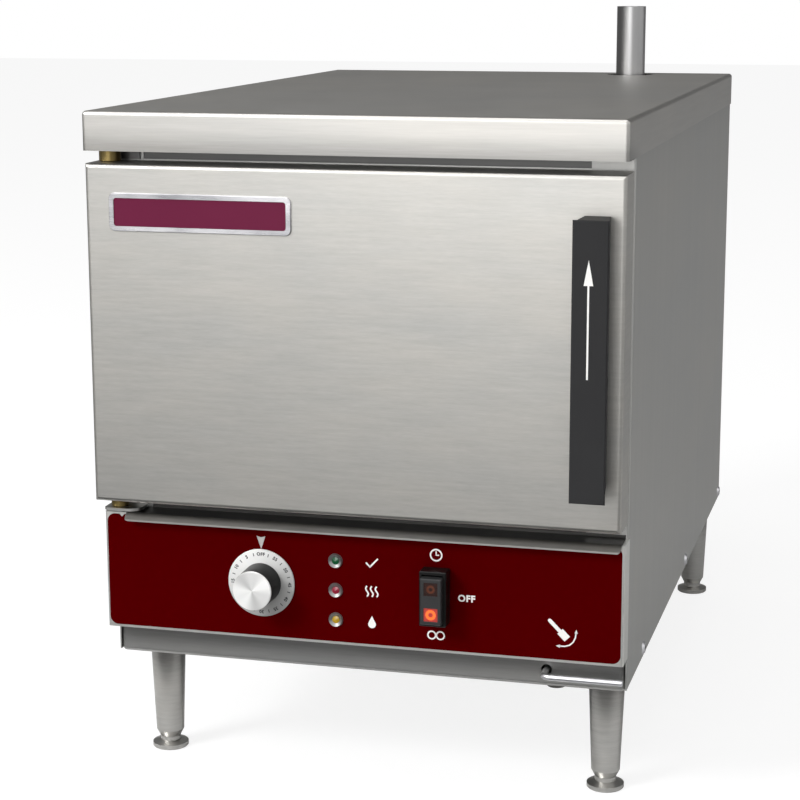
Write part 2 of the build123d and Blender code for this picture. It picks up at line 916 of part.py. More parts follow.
def hinge_bush(radius, bottom, top):
    bush = rod(radius, (hinge_x, hinge_y, bottom), up, top - bottom)
    bush = chamfer(bush.edges().group_by(Axis.Z)[0] + bush.edges().group_by(Axis.Z)[-1], 0.5)
    return bush - rod(pin_radius, (hinge_x, hinge_y, bottom - 1), up, top - bottom + 2)


def hinge_pin(leaf_z, direction):
    """A pin with a head on its leaf, through the bush and into the door."""
    head_at = leaf_z - direction * leaf_thickness
    at = (hinge_x, hinge_y, head_at)
    pin = rod(pin_radius, at, (0, 0, direction), leaf_thickness + bush_height + pin_depth)
    return pin + rod(pin_head_radius, at, (0, 0, -direction), pin_head)


def hinge_blocks():
    """Blocks inside the door's ends with the holes that the pins turn in."""
    half_width = hinge_block_width / 2
    blocks = []
    for end, direction in ((door_top, -1), (door_bottom, 1)):
        outer = end + direction * sheet
        inner = outer + direction * hinge_block_height
        solid = block(
            (hinge_x - half_width, hinge_x + half_width),
            (hinge_y - hinge_block_front, panel_front() - fit_gap),
            (outer, inner),
        )
        hole = rod(pin_radius + fit_gap, (hinge_x, hinge_y, end - direction), (0, 0, direction),
                   pin_depth + 2)
        blocks.append(solid - hole)
    return Compound(blocks)


# Door
def panel_front():
    """Front of the door's inner panel."""
    return door_back - 2 * sheet


def door_outer_panel():
    """A deep pressed pan whose upright edges fold round to the back."""
    outer = block((-door_half, door_half), (door_front, door_back), (door_bottom, door_top))
    level = outer.faces().sort_by(Axis.Y)[0].edges().filter_by(Axis.X)
    outer = fillet(outer.edges().filter_by(Axis.Z) + level, door_bend)
    inner = block(
        (-door_half + sheet, door_half - sheet),
        (door_front + sheet, door_back - sheet),
        (door_bottom + sheet, door_top - sheet),
    )
    level = inner.faces().sort_by(Axis.Y)[0].edges().filter_by(Axis.X)
    inner = fillet(inner.edges().filter_by(Axis.Z) + level, door_bend - sheet)
    mouth = block(
        (-door_half + door_return, door_half - door_return),
        (door_back - 2 * sheet, door_back + sheet),
        (door_bottom + sheet, door_top - sheet),
    )
    panel = outer - inner - mouth
    for z in stud_heights:
        half = stud_radius + seat_gap
        slot = panel_outline(latch_x - half, latch_x + half, z - half, z + half + latch_travel, half - 0.01)
        panel -= slab(slot, door_front - sheet, door_front + 2 * sheet)
    for end in (door_bottom - sheet, door_top - 2 * sheet):
        panel -= rod(pin_radius + fit_gap, (hinge_x, hinge_y, end), up, 3 * sheet)
    return panel


def door_inner_panel():
    """The sheet that closes the door, raised inside the gasket."""
    half = door_half - door_bend - fit_gap
    low = door_bottom + sheet + fit_gap
    high = door_top - sheet - fit_gap
    middle_of_panel = door_back - sheet
    panel = block((-half, half), (panel_front(), middle_of_panel), (low, high))
    raised = panel_outline(
        -gasket_half + gasket_width + 2, gasket_half - gasket_width - 2,
        gasket_bottom + gasket_width + 2, gasket_top - gasket_width - 2, gasket_corner,
    )
    panel += slab(raised, middle_of_panel, middle_of_panel + panel_raise)
    slot_half = hook_width / 2 + seat_gap
    panel -= block(
        (latch_x - slot_half, latch_x + slot_half), (panel_front() - sheet, door_back + sheet),
        (hook_z - hook_height / 2 - seat_gap, hook_z + hook_height / 2 + latch_travel + seat_gap),
    )
    return panel


def door_insulation():
    return block(
        (hinge_x + hinge_block_width / 2 + 1, latch_x - bar_width / 2 - spring_shelf - 3),
        (door_front + sheet + fit_gap, panel_front() - fit_gap),
        (door_bottom + door_bend, door_top - door_bend),
    )


def door_gasket():
    """A closed ring of soft section that meets the chamber's rim."""
    outside = panel_outline(-gasket_half, gasket_half, gasket_bottom, gasket_top, gasket_corner)
    inside = panel_outline(
        -gasket_half + gasket_width, gasket_half - gasket_width,
        gasket_bottom + gasket_width, gasket_top - gasket_width, gasket_corner - gasket_width + 2,
    )
    ring = slab(outside - inside, door_back - sheet, body_front - seat_gap)
    return chamfer(ring.faces().sort_by(Axis.Y)[-1].edges(), gasket_width / 4)


def nameplate():
    """A shallow plate with a raised rim and a bare field."""
    outline = panel_outline(plate_left, plate_right, plate_bottom, plate_top, plate_corner)
    field = panel_outline(
        plate_left + plate_rim, plate_right - plate_rim,
        plate_bottom + plate_rim, plate_top - plate_rim, plate_corner / 2,
    )
    plate = slab(outline, door_front - plate_thickness, door_front)
    plate = chamfer(plate.faces().sort_by(Axis.Y)[0].edges(), 0.5)
    plate_face = door_front - plate_thickness
    return plate - slab(field, plate_face - 1, plate_face + plate_recess)


# Handle and latch
def handle_grip():
    """A moulded grip: a front plate with a lip, on a hollow body with ribs and bosses."""
    plate = block(
        (handle_left, handle_right), (handle_front, handle_front + handle_plate),
        (handle_bottom, handle_top),
    )
    plate = fillet(plate.faces().sort_by(Axis.Y)[0].edges(), 1.2)
    rear = door_front - seat_gap
    face = handle_front + handle_plate
    low = handle_bottom + handle_step
    outer = make_face(Polyline(
        (handle_left + handle_lip, face), (handle_right, face),
        (handle_wall_right, rear), (handle_wall_left, rear), close=True,
    ))
    inner = make_face(Polyline(
        (handle_left + handle_lip + handle_wall, face + handle_wall / 2),
        (handle_right - handle_wall, face + handle_wall / 2),
        (handle_wall_right - handle_wall, rear + 1), (handle_wall_left + handle_wall, rear + 1), close=True,
    ))
    grip = plate + upright(outer, low, handle_top)
    grip -= upright(inner, low + handle_wall, handle_top - handle_wall)
    ribs = int((handle_top - low) / handle_rib_pitch)
    for index in range(1, ribs):
        z = low + index * handle_rib_pitch
        rib = upright(outer, z, z + handle_wall / 2)
        grip += rib & block((handle_left, handle_right), (face, face + handle_reach / 2), (z - 1, z + handle_wall))
    for height in stud_heights:
        boss = rod(stud_boss_radius, (latch_x, rear, height), front, rear - face)
        bore = rod(stud_radius, (latch_x, rear + 1, height), front, handle_reach * 0.6)
        grip = grip + boss - bore
    return grip


def latch_slide():
    """The bar behind the door's skin, with the grip's studs in front and the hook behind."""
    bar_front = door_front + sheet + seat_gap
    bar_back = bar_front + bar_thickness
    bar = block((latch_x - bar_width / 2, latch_x + bar_width / 2), (bar_front, bar_back),
                (bar_bottom, bar_top))
    for height in stud_heights:
        stud = rod(stud_radius, (latch_x, bar_front, height), front, bar_front - door_front + handle_reach / 2)
        bar += stud
    tip = frame_back + hook_reach
    half = hook_width / 2
    bar += block(
        (latch_x - half, latch_x + half), (bar_back, tip),
        (hook_z - hook_height / 2, hook_z + hook_height / 2),
    )
    tooth = block(
        (latch_x - half, latch_x + half), (tip - tooth_length, tip), (tooth_bottom(), hook_z),
    )
    bar += chamfer(tooth.edges().filter_by(Axis.X).sort_by(Axis.Z)[0], tooth_length / 3)
    ear_z = spring_bottom() + spring_length + seat_gap
    bar += block(
        (latch_x - bar_width / 2 - spring_shelf, latch_x - bar_width / 2),
        (bar_front, bar_front + spring_shelf), (ear_z, ear_z + guide_sheet),
    )
    return bar


def tooth_bottom():
    return hook_z - hook_height / 2 - tooth_drop


def spring_bottom():
    """Height of the lower end of the latch spring, level with the top of the lower guide."""
    return guide_heights[0] + guide_height / 2


def latch_guides():
    """Two folded clips on the back of the door's skin that the bar slides through."""
    clips = []
    skin_back = door_front + sheet
    bar_half = bar_width / 2 + seat_gap
    bar_back = skin_back + seat_gap + bar_thickness + seat_gap
    for z in guide_heights:
        low = z - guide_height / 2
        high = z + guide_height / 2
        clip = block(
            (latch_x - bar_half - guide_sheet, latch_x + bar_half + guide_sheet),
            (skin_back, bar_back + guide_sheet), (low, high),
        )
        clip -= block((latch_x - bar_half, latch_x + bar_half), (skin_back - 1, bar_back), (low - 1, high + 1))
        if z == guide_heights[0]:
            clip += block(
                (latch_x - bar_width / 2 - spring_shelf, latch_x - bar_half),
                (skin_back, skin_back + seat_gap + spring_shelf), (high - guide_sheet, high),
            )
        clips.append(clip)
    return Compound(clips)


def latch_spring():
    """The close-wound spring beside the bar, as a sleeve, which draws the bar down after each lift."""
    centre_x = latch_x - bar_width / 2 - spring_shelf / 2
    centre_y = door_front + sheet + seat_gap + spring_shelf / 2
    coil = Circle(spring_radius) - Circle(spring_radius - spring_wall)
    return upright(Pos(centre_x, centre_y) * coil, spring_bottom(), spring_bottom() + spring_length)


def latch_strike():
    """An angle behind the right front flange, with the pin that the hook's tooth stands over."""
    half = strike_half
    pin_y = frame_back + hook_reach - tooth_length / 2
    pin_z = tooth_bottom() - seat_gap - strike_pin_radius
    strike = block(
        (latch_x - half, latch_x + half), (frame_front, frame_front + guide_sheet),
        (pin_z - strike_height, tooth_bottom() - slot_margin - guide_sheet),
    )
    for side in (-1, 1):
        cheek = latch_x + side * half
        strike += block(
            (cheek, cheek - side * guide_sheet), (frame_front, pin_y + 2 * strike_pin_radius),
            (pin_z - 2 * strike_pin_radius, pin_z + strike_pin_radius - seat_gap),
        )
    return strike + rod(strike_pin_radius, (latch_x - half, pin_y, pin_z), right, 2 * half)


# Drain
def drain_pipe():
    pipe = Circle(drain_radius) - Circle(drain_radius - drain_wall)
    return upright(Pos(lever_x, valve_y) * pipe, valve_top, chamber_bottom)


def drain_valve_body():
    """A ball valve standing on the base, with its neck and spigot through the floor."""
    centre = (lever_x, valve_y, lever_z)
    seat = ball_radius + fit_gap
    body = rod(valve_radius, (lever_x, valve_y, sheet), up, valve_top - sheet)
    body += rod(valve_radius * 0.75, centre, front, valve_radius + packing_length)
    body += rod(neck_radius, (lever_x, valve_y, -neck_drop), up, neck_drop + sheet)
    body += rod(outlet_radius, (lever_x, valve_y, -outlet_drop), up, outlet_drop)
    body -= rod(bore_radius, (lever_x, valve_y, -outlet_drop - sheet), up, valve_top + outlet_drop + 2 * sheet)
    body -= rod(seat, (lever_x, valve_y - seat, lever_z), back, 2 * seat)
    body -= rod(stem_radius + fit_gap, centre, front, valve_radius + packing_length + sheet)
    return body


def valve_ball():
    """Closed when its bore lies across the pipe."""
    centre = (lever_x, valve_y, lever_z)
    bore = rod(bore_radius, (lever_x - 2 * ball_radius, valve_y, lever_z), right, 4 * ball_radius)
    return Pos(*centre) * Rot(0, 0, 90) * Sphere(ball_radius) - bore


def drain_lever():
    """The stem that turns the ball, and the bent rod that reaches past the cabinet's side."""
    stem_back = valve_y - ball_radius
    stem_front = valve_y - valve_radius - packing_length - seat_gap
    path = FilletPolyline(
        (lever_x, stem_front, lever_z), (lever_x, lever_front, lever_z), (lever_end, lever_front, lever_z),
        radius=lever_bend,
    )
    start = Plane(origin=(lever_x, stem_front, lever_z), z_dir=front)
    lever = sweep(start * Circle(lever_radius), path=path)
    lever = chamfer(lever.edges().sort_by(Axis.X)[-1], lever_radius / 4)
    stem = rod(stem_radius, (lever_x, stem_front, lever_z), back, stem_back - stem_front + 1.5)
    stem -= Pos(lever_x, valve_y, lever_z) * Sphere(ball_radius)
    return lever + stem


# Legs
def leg(x, y):
    """A turned leg that narrows to a chamfered end, bored for its foot."""
    return turned(
        [(leg_bore_radius, -leg_length), (leg_neck_radius, -leg_length), (leg_low_radius, -leg_taper),
         (leg_top_radius, 0), (0, 0), (0, -leg_crown), (leg_bore_radius, -leg_crown)],
        (x, y, 0), up,
    )


def foot(x, y):
    """A foot with a wide rim and a stem that screws into the leg."""
    ground = -leg_height
    neck_top = -leg_length - seat_gap
    return turned(
        [(0, ground), (foot_radius - 0.8, ground), (foot_radius, ground + 0.8),
         (foot_radius, ground + foot_edge), (foot_neck_radius, ground + foot_flare_top),
         (foot_neck_radius, neck_top), (foot_stem_radius, neck_top),
         (foot_stem_radius, neck_top + foot_stem_length), (0, neck_top + foot_stem_length)],
        (x, y, 0), up,
    )


def mirrored(shape):
    return mirror(shape, about=Plane.YZ)


pieces = {
    "top_cover": top_cover(),
    "side_panel_left": mirrored(side_panel()),
    "side_panel_right": side_panel() - latch_slot(),
    "rear_panel": rear_panel(),
    "base_pan": base_pan(),
    "side_screws": side_screws(),
    "front_frame": front_frame(),
    "cooking_chamber": cooking_chamber(),
    "chamber_insulation": chamber_insulation(),
    "pan_rack_left": mirrored(pan_rack()),
    "pan_rack_right": pan_rack(),
    "heater_plate": heater_plate(),
    "vent_pipe": vent_pipe(),
    "control_housing": control_housing(),
    "control_overlay": control_overlay(),
    "lamp_bezels": Compound([lamp_bezel(z) for z in lamp_heights.values()]),
    "timer_body": timer_body(),
    "timer_shaft": timer_shaft(),
    "timer_dial": timer_dial(),
    "timer_knob": timer_knob(),
    "knob_cap": knob_cap(),
    "switch_housing": switch_housing(),
    "switch_rocker": switch_rocker(),
    "rocker_window_upper": rocker_window(0),
    "rocker_window_lower": rocker_window(1),
    "contactor": contactor(),
    "terminal_block": terminal_block(),
    "cable_gland": cable_gland(),
    "drip_tray": drip_tray(),
    "door_outer_panel": door_outer_panel(),
    "door_inner_panel": door_inner_panel(),
    "door_insulation": door_insulation(),
    "door_gasket": door_gasket(),
    "nameplate": nameplate(),
    "hinge_blocks": hinge_blocks(),
    "handle_grip": handle_grip(),
    "latch_slide": latch_slide(),
    "latch_guides": latch_guides(),
    "latch_spring": latch_spring(),
    "latch_strike": latch_strike(),
    "drain_pipe": drain_pipe(),
    "drain_valve_body": drain_valve_body(),
    "drain_lever": drain_lever(),
    "valve_ball": valve_ball(),
}

for colour, height in lamp_heights.items():
    pieces[f"lamp_lens_{colour}"] = lamp_lens(height)

upper_leaf = door_top + fit_gap + bush_height
lower_leaf = door_bottom - fit_gap - bush_height
pieces["hinge_bracket_upper"] = hinge_bracket(upper_leaf, -1)
pieces["hinge_bracket_lower"] = hinge_bracket(lower_leaf, 1)
pieces["hinge_bush_upper"] = hinge_bush(upper_bush_radius, door_top + fit_gap, upper_leaf)
pieces["hinge_bush_lower"] = hinge_bush(lower_bush_radius, lower_leaf, door_bottom - fit_gap)
pieces["hinge_pins"] = Compound([hinge_pin(upper_leaf, -1), hinge_pin(lower_leaf, 1)])

for row, y in zip(("front", "rear"), leg_rows):
    for hand, x in (("left", -leg_x), ("right", leg_x)):
        pieces[f"leg_{row}_{hand}"] = leg(x, y)
        pieces[f"foot_{row}_{hand}"] = foot(x, y)

os.makedirs("parts", exist_ok=True)
for piece_name, piece in pieces.items():
    save(piece_name, piece)
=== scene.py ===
import math

import bpy
from mathutils import Matrix, Vector


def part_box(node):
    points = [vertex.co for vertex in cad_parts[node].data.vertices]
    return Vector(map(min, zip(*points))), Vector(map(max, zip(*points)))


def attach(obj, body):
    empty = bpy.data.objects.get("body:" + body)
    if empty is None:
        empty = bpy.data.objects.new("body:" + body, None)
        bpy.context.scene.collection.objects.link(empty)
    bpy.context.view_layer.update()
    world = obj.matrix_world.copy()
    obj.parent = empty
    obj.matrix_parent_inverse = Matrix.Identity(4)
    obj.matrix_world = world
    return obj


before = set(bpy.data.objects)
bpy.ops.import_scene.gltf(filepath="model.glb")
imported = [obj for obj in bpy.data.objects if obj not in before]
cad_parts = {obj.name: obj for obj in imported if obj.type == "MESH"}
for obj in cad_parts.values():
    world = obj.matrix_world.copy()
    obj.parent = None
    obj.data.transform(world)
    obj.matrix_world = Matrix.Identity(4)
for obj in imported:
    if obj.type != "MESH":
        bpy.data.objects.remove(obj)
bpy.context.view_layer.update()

mm = 0.001
print("frame loaded:", len(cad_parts), "nodes")


# Small helpers for objects and node trees
def linkObject(name, data):
    thing = bpy.data.objects.new(name, data)
    bpy.context.scene.collection.objects.link(thing)
    return thing


def middle(node):
    low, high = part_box(node)
    return (low + high) / 2


def addNode(tree, kind, **settings):
    node = tree.nodes.new(kind)
    for name, value in settings.items():
        setattr(node, name, value)
    return node


def join(tree, source, target):
    tree.links.new(source, target)


def feed(tree, value, socket):
    # Another node's output is linked to the socket, and a plain value is set on it
    if isinstance(value, bpy.types.NodeSocket):
        join(tree, value, socket)
    else:
        socket.default_value = value


def setInputs(node, values):
    for name, value in values.items():
        node.inputs[name].default_value = value


def maths(tree, operation, first, second=None):
    node = addNode(tree, "ShaderNodeMath", operation=operation)
    feed(tree, first, node.inputs[0])
    if second is not None:
        feed(tree, second, node.inputs[1])
    return node.outputs[0]


def vectorMaths(tree, operation, first, second=None):
    node = addNode(tree, "ShaderNodeVectorMath", operation=operation)
    feed(tree, first, node.inputs[0])
    if second is not None:
        feed(tree, second, node.inputs["Scale" if operation == "SCALE" else 1])
    return node.outputs["Value" if operation in ("DOT_PRODUCT", "LENGTH") else "Vector"]


def mixColour(tree, factor, first, second, blend="MIX"):
    node = addNode(tree, "ShaderNodeMix", data_type="RGBA", blend_type=blend)
    feed(tree, factor, node.inputs[0])
    for value, socket in ((first, node.inputs[6]), (second, node.inputs[7])):
        feed(tree, (*value, 1) if isinstance(value, tuple) else value, socket)
    return node.outputs[2]


def remap(tree, value, low, high, outLow, outHigh):
    node = addNode(tree, "ShaderNodeMapRange", interpolation_type="SMOOTHSTEP")
    join(tree, value, node.inputs["Value"])
    setInputs(node, {"From Min": low, "From Max": high, "To Min": outLow, "To Max": outHigh})
    return node.outputs[0]


def noise(tree, vector, scale, detail=2.0):
    node = addNode(tree, "ShaderNodeTexNoise")
    join(tree, vector, node.inputs["Vector"])
    feed(tree, scale, node.inputs["Scale"])
    node.inputs["Detail"].default_value = detail
    return node.outputs["Fac"]


def objectPlace(tree):
    return addNode(tree, "ShaderNodeTexCoord").outputs["Object"]


def upwardMask(tree):
    # 1 on faces that look straight up at rest, and 0 from about 25 degrees off
    facing = addNode(tree, "ShaderNodeSeparateXYZ")
    join(tree, addNode(tree, "ShaderNodeTexCoord").outputs["Normal"], facing.inputs[0])
    return remap(tree, facing.outputs["Z"], 0.9, 1.0, 0.0, 1.0)


def roundAxis(tree, centre):
    # Place seen from a centre, and the distance from the line through it along Y
    local = vectorMaths(tree, "SUBTRACT", objectPlace(tree), centre)
    flat = vectorMaths(tree, "MULTIPLY", local, (1, 0, 1))
    return local, vectorMaths(tree, "LENGTH", flat)


def newGroup(name, inputs, outputs):
    tree = bpy.data.node_groups.new(name, "ShaderNodeTree")
    for socketName, kind, value in inputs:
        socket = tree.interface.new_socket(socketName, in_out="INPUT", socket_type=kind)
        socket.default_value = value
    for socketName, kind in outputs:
        tree.interface.new_socket(socketName, in_out="OUTPUT", socket_type=kind)
    return tree, addNode(tree, "NodeGroupInput"), addNode(tree, "NodeGroupOutput")


# Shader groups: each one gives colours, roughness or heights that change over a surface; some of the colours
# carry painted shade, light or reflection
brushedGrain = {
    "fineDetail": 3.0,
    "coarseScale": 0.23,
    "cloudStretch": (0.5, 0.5, 1.6),
    "cloudDetail": 4.0,
    "coolTint": (0.97, 0.985, 1.0),
    "warmTint": (1.0, 0.975, 0.94),
    "unevenRoughness": 0.08,
}


def makeBrushedGroup():
    tree, given, result = newGroup("brushedGrain", [
        ("Metal Colour", "NodeSocketColor", (0.5, 0.5, 0.5, 1)),
        ("Stretch", "NodeSocketVector", (60, 60, 1500)),
        ("Streaks", "NodeSocketFloat", 0.1),
        ("Clouds", "NodeSocketFloat", 0.1),
        ("Cloud Size", "NodeSocketFloat", 14.0),
        ("Roughness", "NodeSocketFloat", 0.35),
        ("Painted Shade Run", "NodeSocketVector", (0, 0, 0)),
        ("Painted Shade Start", "NodeSocketFloat", 0.0),
        ("Painted Shade Amount", "NodeSocketFloat", 0.0),
        ("Top Roughness", "NodeSocketFloat", 0.0),
    ], [("Colour", "NodeSocketColor"), ("Roughness", "NodeSocketFloat"), ("Height", "NodeSocketFloat")])
    place = objectPlace(tree)
    stretched = vectorMaths(tree, "MULTIPLY", place, given.outputs["Stretch"])
    fine = noise(tree, stretched, 1.0, brushedGrain["fineDetail"])
    coarse = noise(tree, stretched, brushedGrain["coarseScale"])
    flattened = vectorMaths(tree, "MULTIPLY", place, brushedGrain["cloudStretch"])
    clouds = noise(tree, flattened, given.outputs["Cloud Size"], brushedGrain["cloudDetail"])
    streak = maths(tree, "ADD", maths(tree, "SUBTRACT", fine, 0.5), maths(tree, "SUBTRACT", coarse, 0.5))
    streakTone = maths(tree, "MULTIPLY", streak, given.outputs["Streaks"])
    cloudTone = maths(tree, "MULTIPLY", maths(tree, "SUBTRACT", clouds, 0.5), given.outputs["Clouds"])
    # Painted shade: the colour darkens along the run from the start point, by the given amount at its end
    along = vectorMaths(tree, "DOT_PRODUCT", place, given.outputs["Painted Shade Run"])
    paintedShadeRun = maths(tree, "SUBTRACT", along, given.outputs["Painted Shade Start"])
    darker = remap(tree, paintedShadeRun, 0.0, 1.0, 0.0, -1.0)
    shade = maths(tree, "MULTIPLY", darker, given.outputs["Painted Shade Amount"])
    tone = maths(tree, "ADD", streakTone, cloudTone)
    brightness = maths(tree, "ADD", tone, maths(tree, "ADD", shade, 1.0))
    scaled = vectorMaths(tree, "SCALE", given.outputs["Metal Colour"], brightness)
    tint = mixColour(tree, clouds, brushedGrain["coolTint"], brushedGrain["warmTint"])
    tinted = mixColour(tree, 1.0, scaled, tint, "MULTIPLY")
    topRough = maths(tree, "MULTIPLY", upwardMask(tree), given.outputs["Top Roughness"])
    uneven = maths(tree, "MULTIPLY", fine, brushedGrain["unevenRoughness"])
    rough = maths(tree, "ADD", given.outputs["Roughness"], maths(tree, "ADD", topRough, uneven))
    join(tree, tinted, result.inputs["Colour"])
    join(tree, rough, result.inputs["Roughness"])
    join(tree, fine, result.inputs["Height"])
    return tree


mouldedSkin = {"smearScale": 22.0, "smearDetail": 3.0, "unevenRoughness": 0.5}


def makeMouldedGroup():
    tree, given, result = newGroup("mouldedSkin", [
        ("Plastic Colour", "NodeSocketColor", (0.1, 0.1, 0.1, 1)),
        ("Grain Size", "NodeSocketFloat", 900.0),
        ("Variation", "NodeSocketFloat", 0.15),
        ("Roughness", "NodeSocketFloat", 0.45),
        ("Painted Top Shade", "NodeSocketFloat", 0.0),
    ], [("Colour", "NodeSocketColor"), ("Roughness", "NodeSocketFloat"), ("Height", "NodeSocketFloat")])
    place = objectPlace(tree)
    grain = noise(tree, place, given.outputs["Grain Size"])
    smears = noise(tree, place, mouldedSkin["smearScale"], mouldedSkin["smearDetail"])
    shift = maths(tree, "MULTIPLY", maths(tree, "SUBTRACT", smears, 0.5), given.outputs["Variation"])
    # Painted shade on the faces that look up
    paintedTopShade = maths(tree, "MULTIPLY", upwardMask(tree), given.outputs["Painted Top Shade"])
    brightness = maths(tree, "SUBTRACT", maths(tree, "ADD", shift, 1.0), paintedTopShade)
    scaled = vectorMaths(tree, "SCALE", given.outputs["Plastic Colour"], brightness)
    uneven = maths(tree, "MULTIPLY", shift, mouldedSkin["unevenRoughness"])
    rough = maths(tree, "ADD", given.outputs["Roughness"], uneven)
    join(tree, scaled, result.inputs["Colour"])
    join(tree, rough, result.inputs["Roughness"])
    join(tree, grain, result.inputs["Height"])
    return tree


# Waves of the painted reflection sectors round the centre, and the fine turned rings
spunFace = {
    "broadWaves": 2.0,
    "broadShare": 0.7,
    "narrowWaves": 5.0,
    "narrowShare": 0.3,
    "ringScale": 5000.0,
    "ringDepth": 0.16,
}


def makeSpunGroup():
    tree, given, result = newGroup("spunFace", [
        ("Centre", "NodeSocketVector", (0, 0, 0)),
        ("Metal Colour", "NodeSocketColor", (0.7, 0.7, 0.7, 1)),
        ("Painted Reflection Sectors", "NodeSocketFloat", 0.3),
        ("Turn", "NodeSocketFloat", 0.0),
        ("Painted Light Lean", "NodeSocketFloat", 0.0),
    ], [("Colour", "NodeSocketColor"), ("Height", "NodeSocketFloat")])
    local, radius = roundAxis(tree, given.outputs["Centre"])
    parts = addNode(tree, "ShaderNodeSeparateXYZ")
    join(tree, local, parts.inputs[0])
    # Painted reflection: bright and dark sectors round the centre, and painted light leaning to one side,
    # both turned by Turn; the rings below are the turned grain
    angle = maths(tree, "ARCTAN2", parts.outputs["Z"], parts.outputs["X"])
    turned = maths(tree, "SUBTRACT", angle, given.outputs["Turn"])
    waves = []
    for width in ("broad", "narrow"):
        wave = maths(tree, "COSINE", maths(tree, "MULTIPLY", turned, spunFace[width + "Waves"]))
        waves.append(maths(tree, "MULTIPLY", wave, spunFace[width + "Share"]))
    paintedSectors = maths(tree, "MULTIPLY", maths(tree, "ADD", *waves), given.outputs["Painted Reflection Sectors"])
    paintedLeaning = maths(tree, "MULTIPLY", maths(tree, "COSINE", turned), given.outputs["Painted Light Lean"])
    tone = maths(tree, "ADD", maths(tree, "ADD", paintedSectors, paintedLeaning), 1.0)
    rings = addNode(tree, "ShaderNodeTexNoise", noise_dimensions="1D")
    join(tree, maths(tree, "MULTIPLY", radius, spunFace["ringScale"]), rings.inputs["W"])
    ringDepth = spunFace["ringDepth"]
    ringTone = maths(tree, "ADD", maths(tree, "MULTIPLY", rings.outputs["Fac"], ringDepth), 1 - ringDepth / 2)
    brightness = maths(tree, "MULTIPLY", tone, ringTone)
    scaled = vectorMaths(tree, "SCALE", given.outputs["Metal Colour"], brightness)
    join(tree, scaled, result.inputs["Colour"])
    join(tree, rings.outputs["Fac"], result.inputs["Height"])
    return tree


brushedGroup = makeBrushedGroup()
mouldedGroup = makeMouldedGroup()
spunGroup = makeSpunGroup()
print("shader groups built")

# Materials
bumpDepth = 0.1 * mm


def newMaterial(name):
    material = bpy.data.materials.new(name)
    material.use_nodes = True
    return material, material.node_tree, material.node_tree.nodes["Principled BSDF"]


def addBump(tree, shader, height, strength):
    bump = addNode(tree, "ShaderNodeBump")
    setInputs(bump, {"Strength": strength, "Distance": bumpDepth})
    join(tree, height, bump.inputs["Height"])
    join(tree, bump.outputs["Normal"], shader.inputs["Normal"])


def brushedMetal(name, look):
    material, tree, shader = newMaterial(name)
    grain = addNode(tree, "ShaderNodeGroup", node_tree=brushedGroup)
    setInputs(grain, {
        "Metal Colour": (*look["colour"], 1),
        "Stretch": look["stretch"],
        "Streaks": look["streaks"],
        "Clouds": look["clouds"],
        "Cloud Size": look.get("cloudSize", 14.0),
        "Roughness": look["roughness"],
        "Top Roughness": look.get("topRoughness", 0.0),
    })
    if "shade" in look:
        start, end, amount = look["shade"]
        run = Vector(end) - Vector(start)
        run = run / run.length_squared
        setInputs(grain, {"Painted Shade Run": run, "Painted Shade Start": run.dot(Vector(start)), "Painted Shade Amount": amount})
    shader.inputs["Metallic"].default_value = 1.0
    join(tree, grain.outputs["Colour"], shader.inputs["Base Color"])
    join(tree, grain.outputs["Roughness"], shader.inputs["Roughness"])
    addBump(tree, shader, grain.outputs["Height"], look["bump"])
    return material


def mouldedPlastic(name, look):
    material, tree, shader = newMaterial(name)
    skin = addNode(tree, "ShaderNodeGroup", node_tree=mouldedGroup)
    setInputs(skin, {
        "Plastic Colour": (*look["colour"], 1),
        "Grain Size": look.get("grainSize", 900.0),
        "Variation": look.get("variation", 0.15),
        "Roughness": look["roughness"],
        "Painted Top Shade": look.get("paintedTopShade", 0.0),
    })
    setInputs(shader, {
        "Specular IOR Level": look.get("specular", 0.25),
        "Coat Weight": look.get("coat", 0.0),
        "Coat Roughness": look.get("coatRoughness", 0.2),
    })
    join(tree, skin.outputs["Colour"], shader.inputs["Base Color"])
    join(tree, skin.outputs["Roughness"], shader.inputs["Roughness"])
    addBump(tree, shader, skin.outputs["Height"], look["bump"])
    return material


def spunMetal(name, look):
    material, tree, shader = newMaterial(name)
    face = addNode(tree, "ShaderNodeGroup", node_tree=spunGroup)
    setInputs(face, {
        "Centre": middle(look["centre"]),
        "Metal Colour": (*look["colour"], 1),
        "Painted Reflection Sectors": look["paintedSectors"],
        "Turn": look["turn"],
        "Painted Light Lean": look["paintedLean"],
    })
    setInputs(shader, {"Metallic": look["metallic"], "Roughness": look["roughness"]})
    join(tree, face.outputs["Colour"], shader.inputs["Base Color"])
    addBump(tree, shader, face.outputs["Height"], look["bump"])
    return material


# Rocker windows: flecked plastic with a printed ring, glowing more or less
windowBody = {"fleckScale": 700.0, "fleckDetail": 3.0, "fleckShare": 0.9, "roughness": 0.25}


def ringWindow(name, look):
    material, tree, shader = newMaterial(name)
    radius = roundAxis(tree, middle(look["centre"]))[1]
    fromRing = maths(tree, "ABSOLUTE", maths(tree, "SUBTRACT", radius, look["ringRadius"]))
    ring = remap(tree, fromRing, 0.0, look["ringWidth"], 1.0, 0.0)
    flecks = noise(tree, objectPlace(tree), windowBody["fleckScale"], windowBody["fleckDetail"])
    body = mixColour(tree, maths(tree, "MULTIPLY", flecks, windowBody["fleckShare"]),
                     look["field"], look["fleck"])
    colour = mixColour(tree, ring, body, look["ring"])
    join(tree, colour, shader.inputs["Base Color"])
    join(tree, colour, shader.inputs["Emission Color"])
    setInputs(shader, {"Emission Strength": look["glow"], "Roughness": windowBody["roughness"]})
    return material


coverLow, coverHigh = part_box("top_cover")
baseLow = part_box("base_pan")[0]
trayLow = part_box("drip_tray")[0]
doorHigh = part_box("door_outer_panel")[1]
pipeX = middle("vent_pipe").x
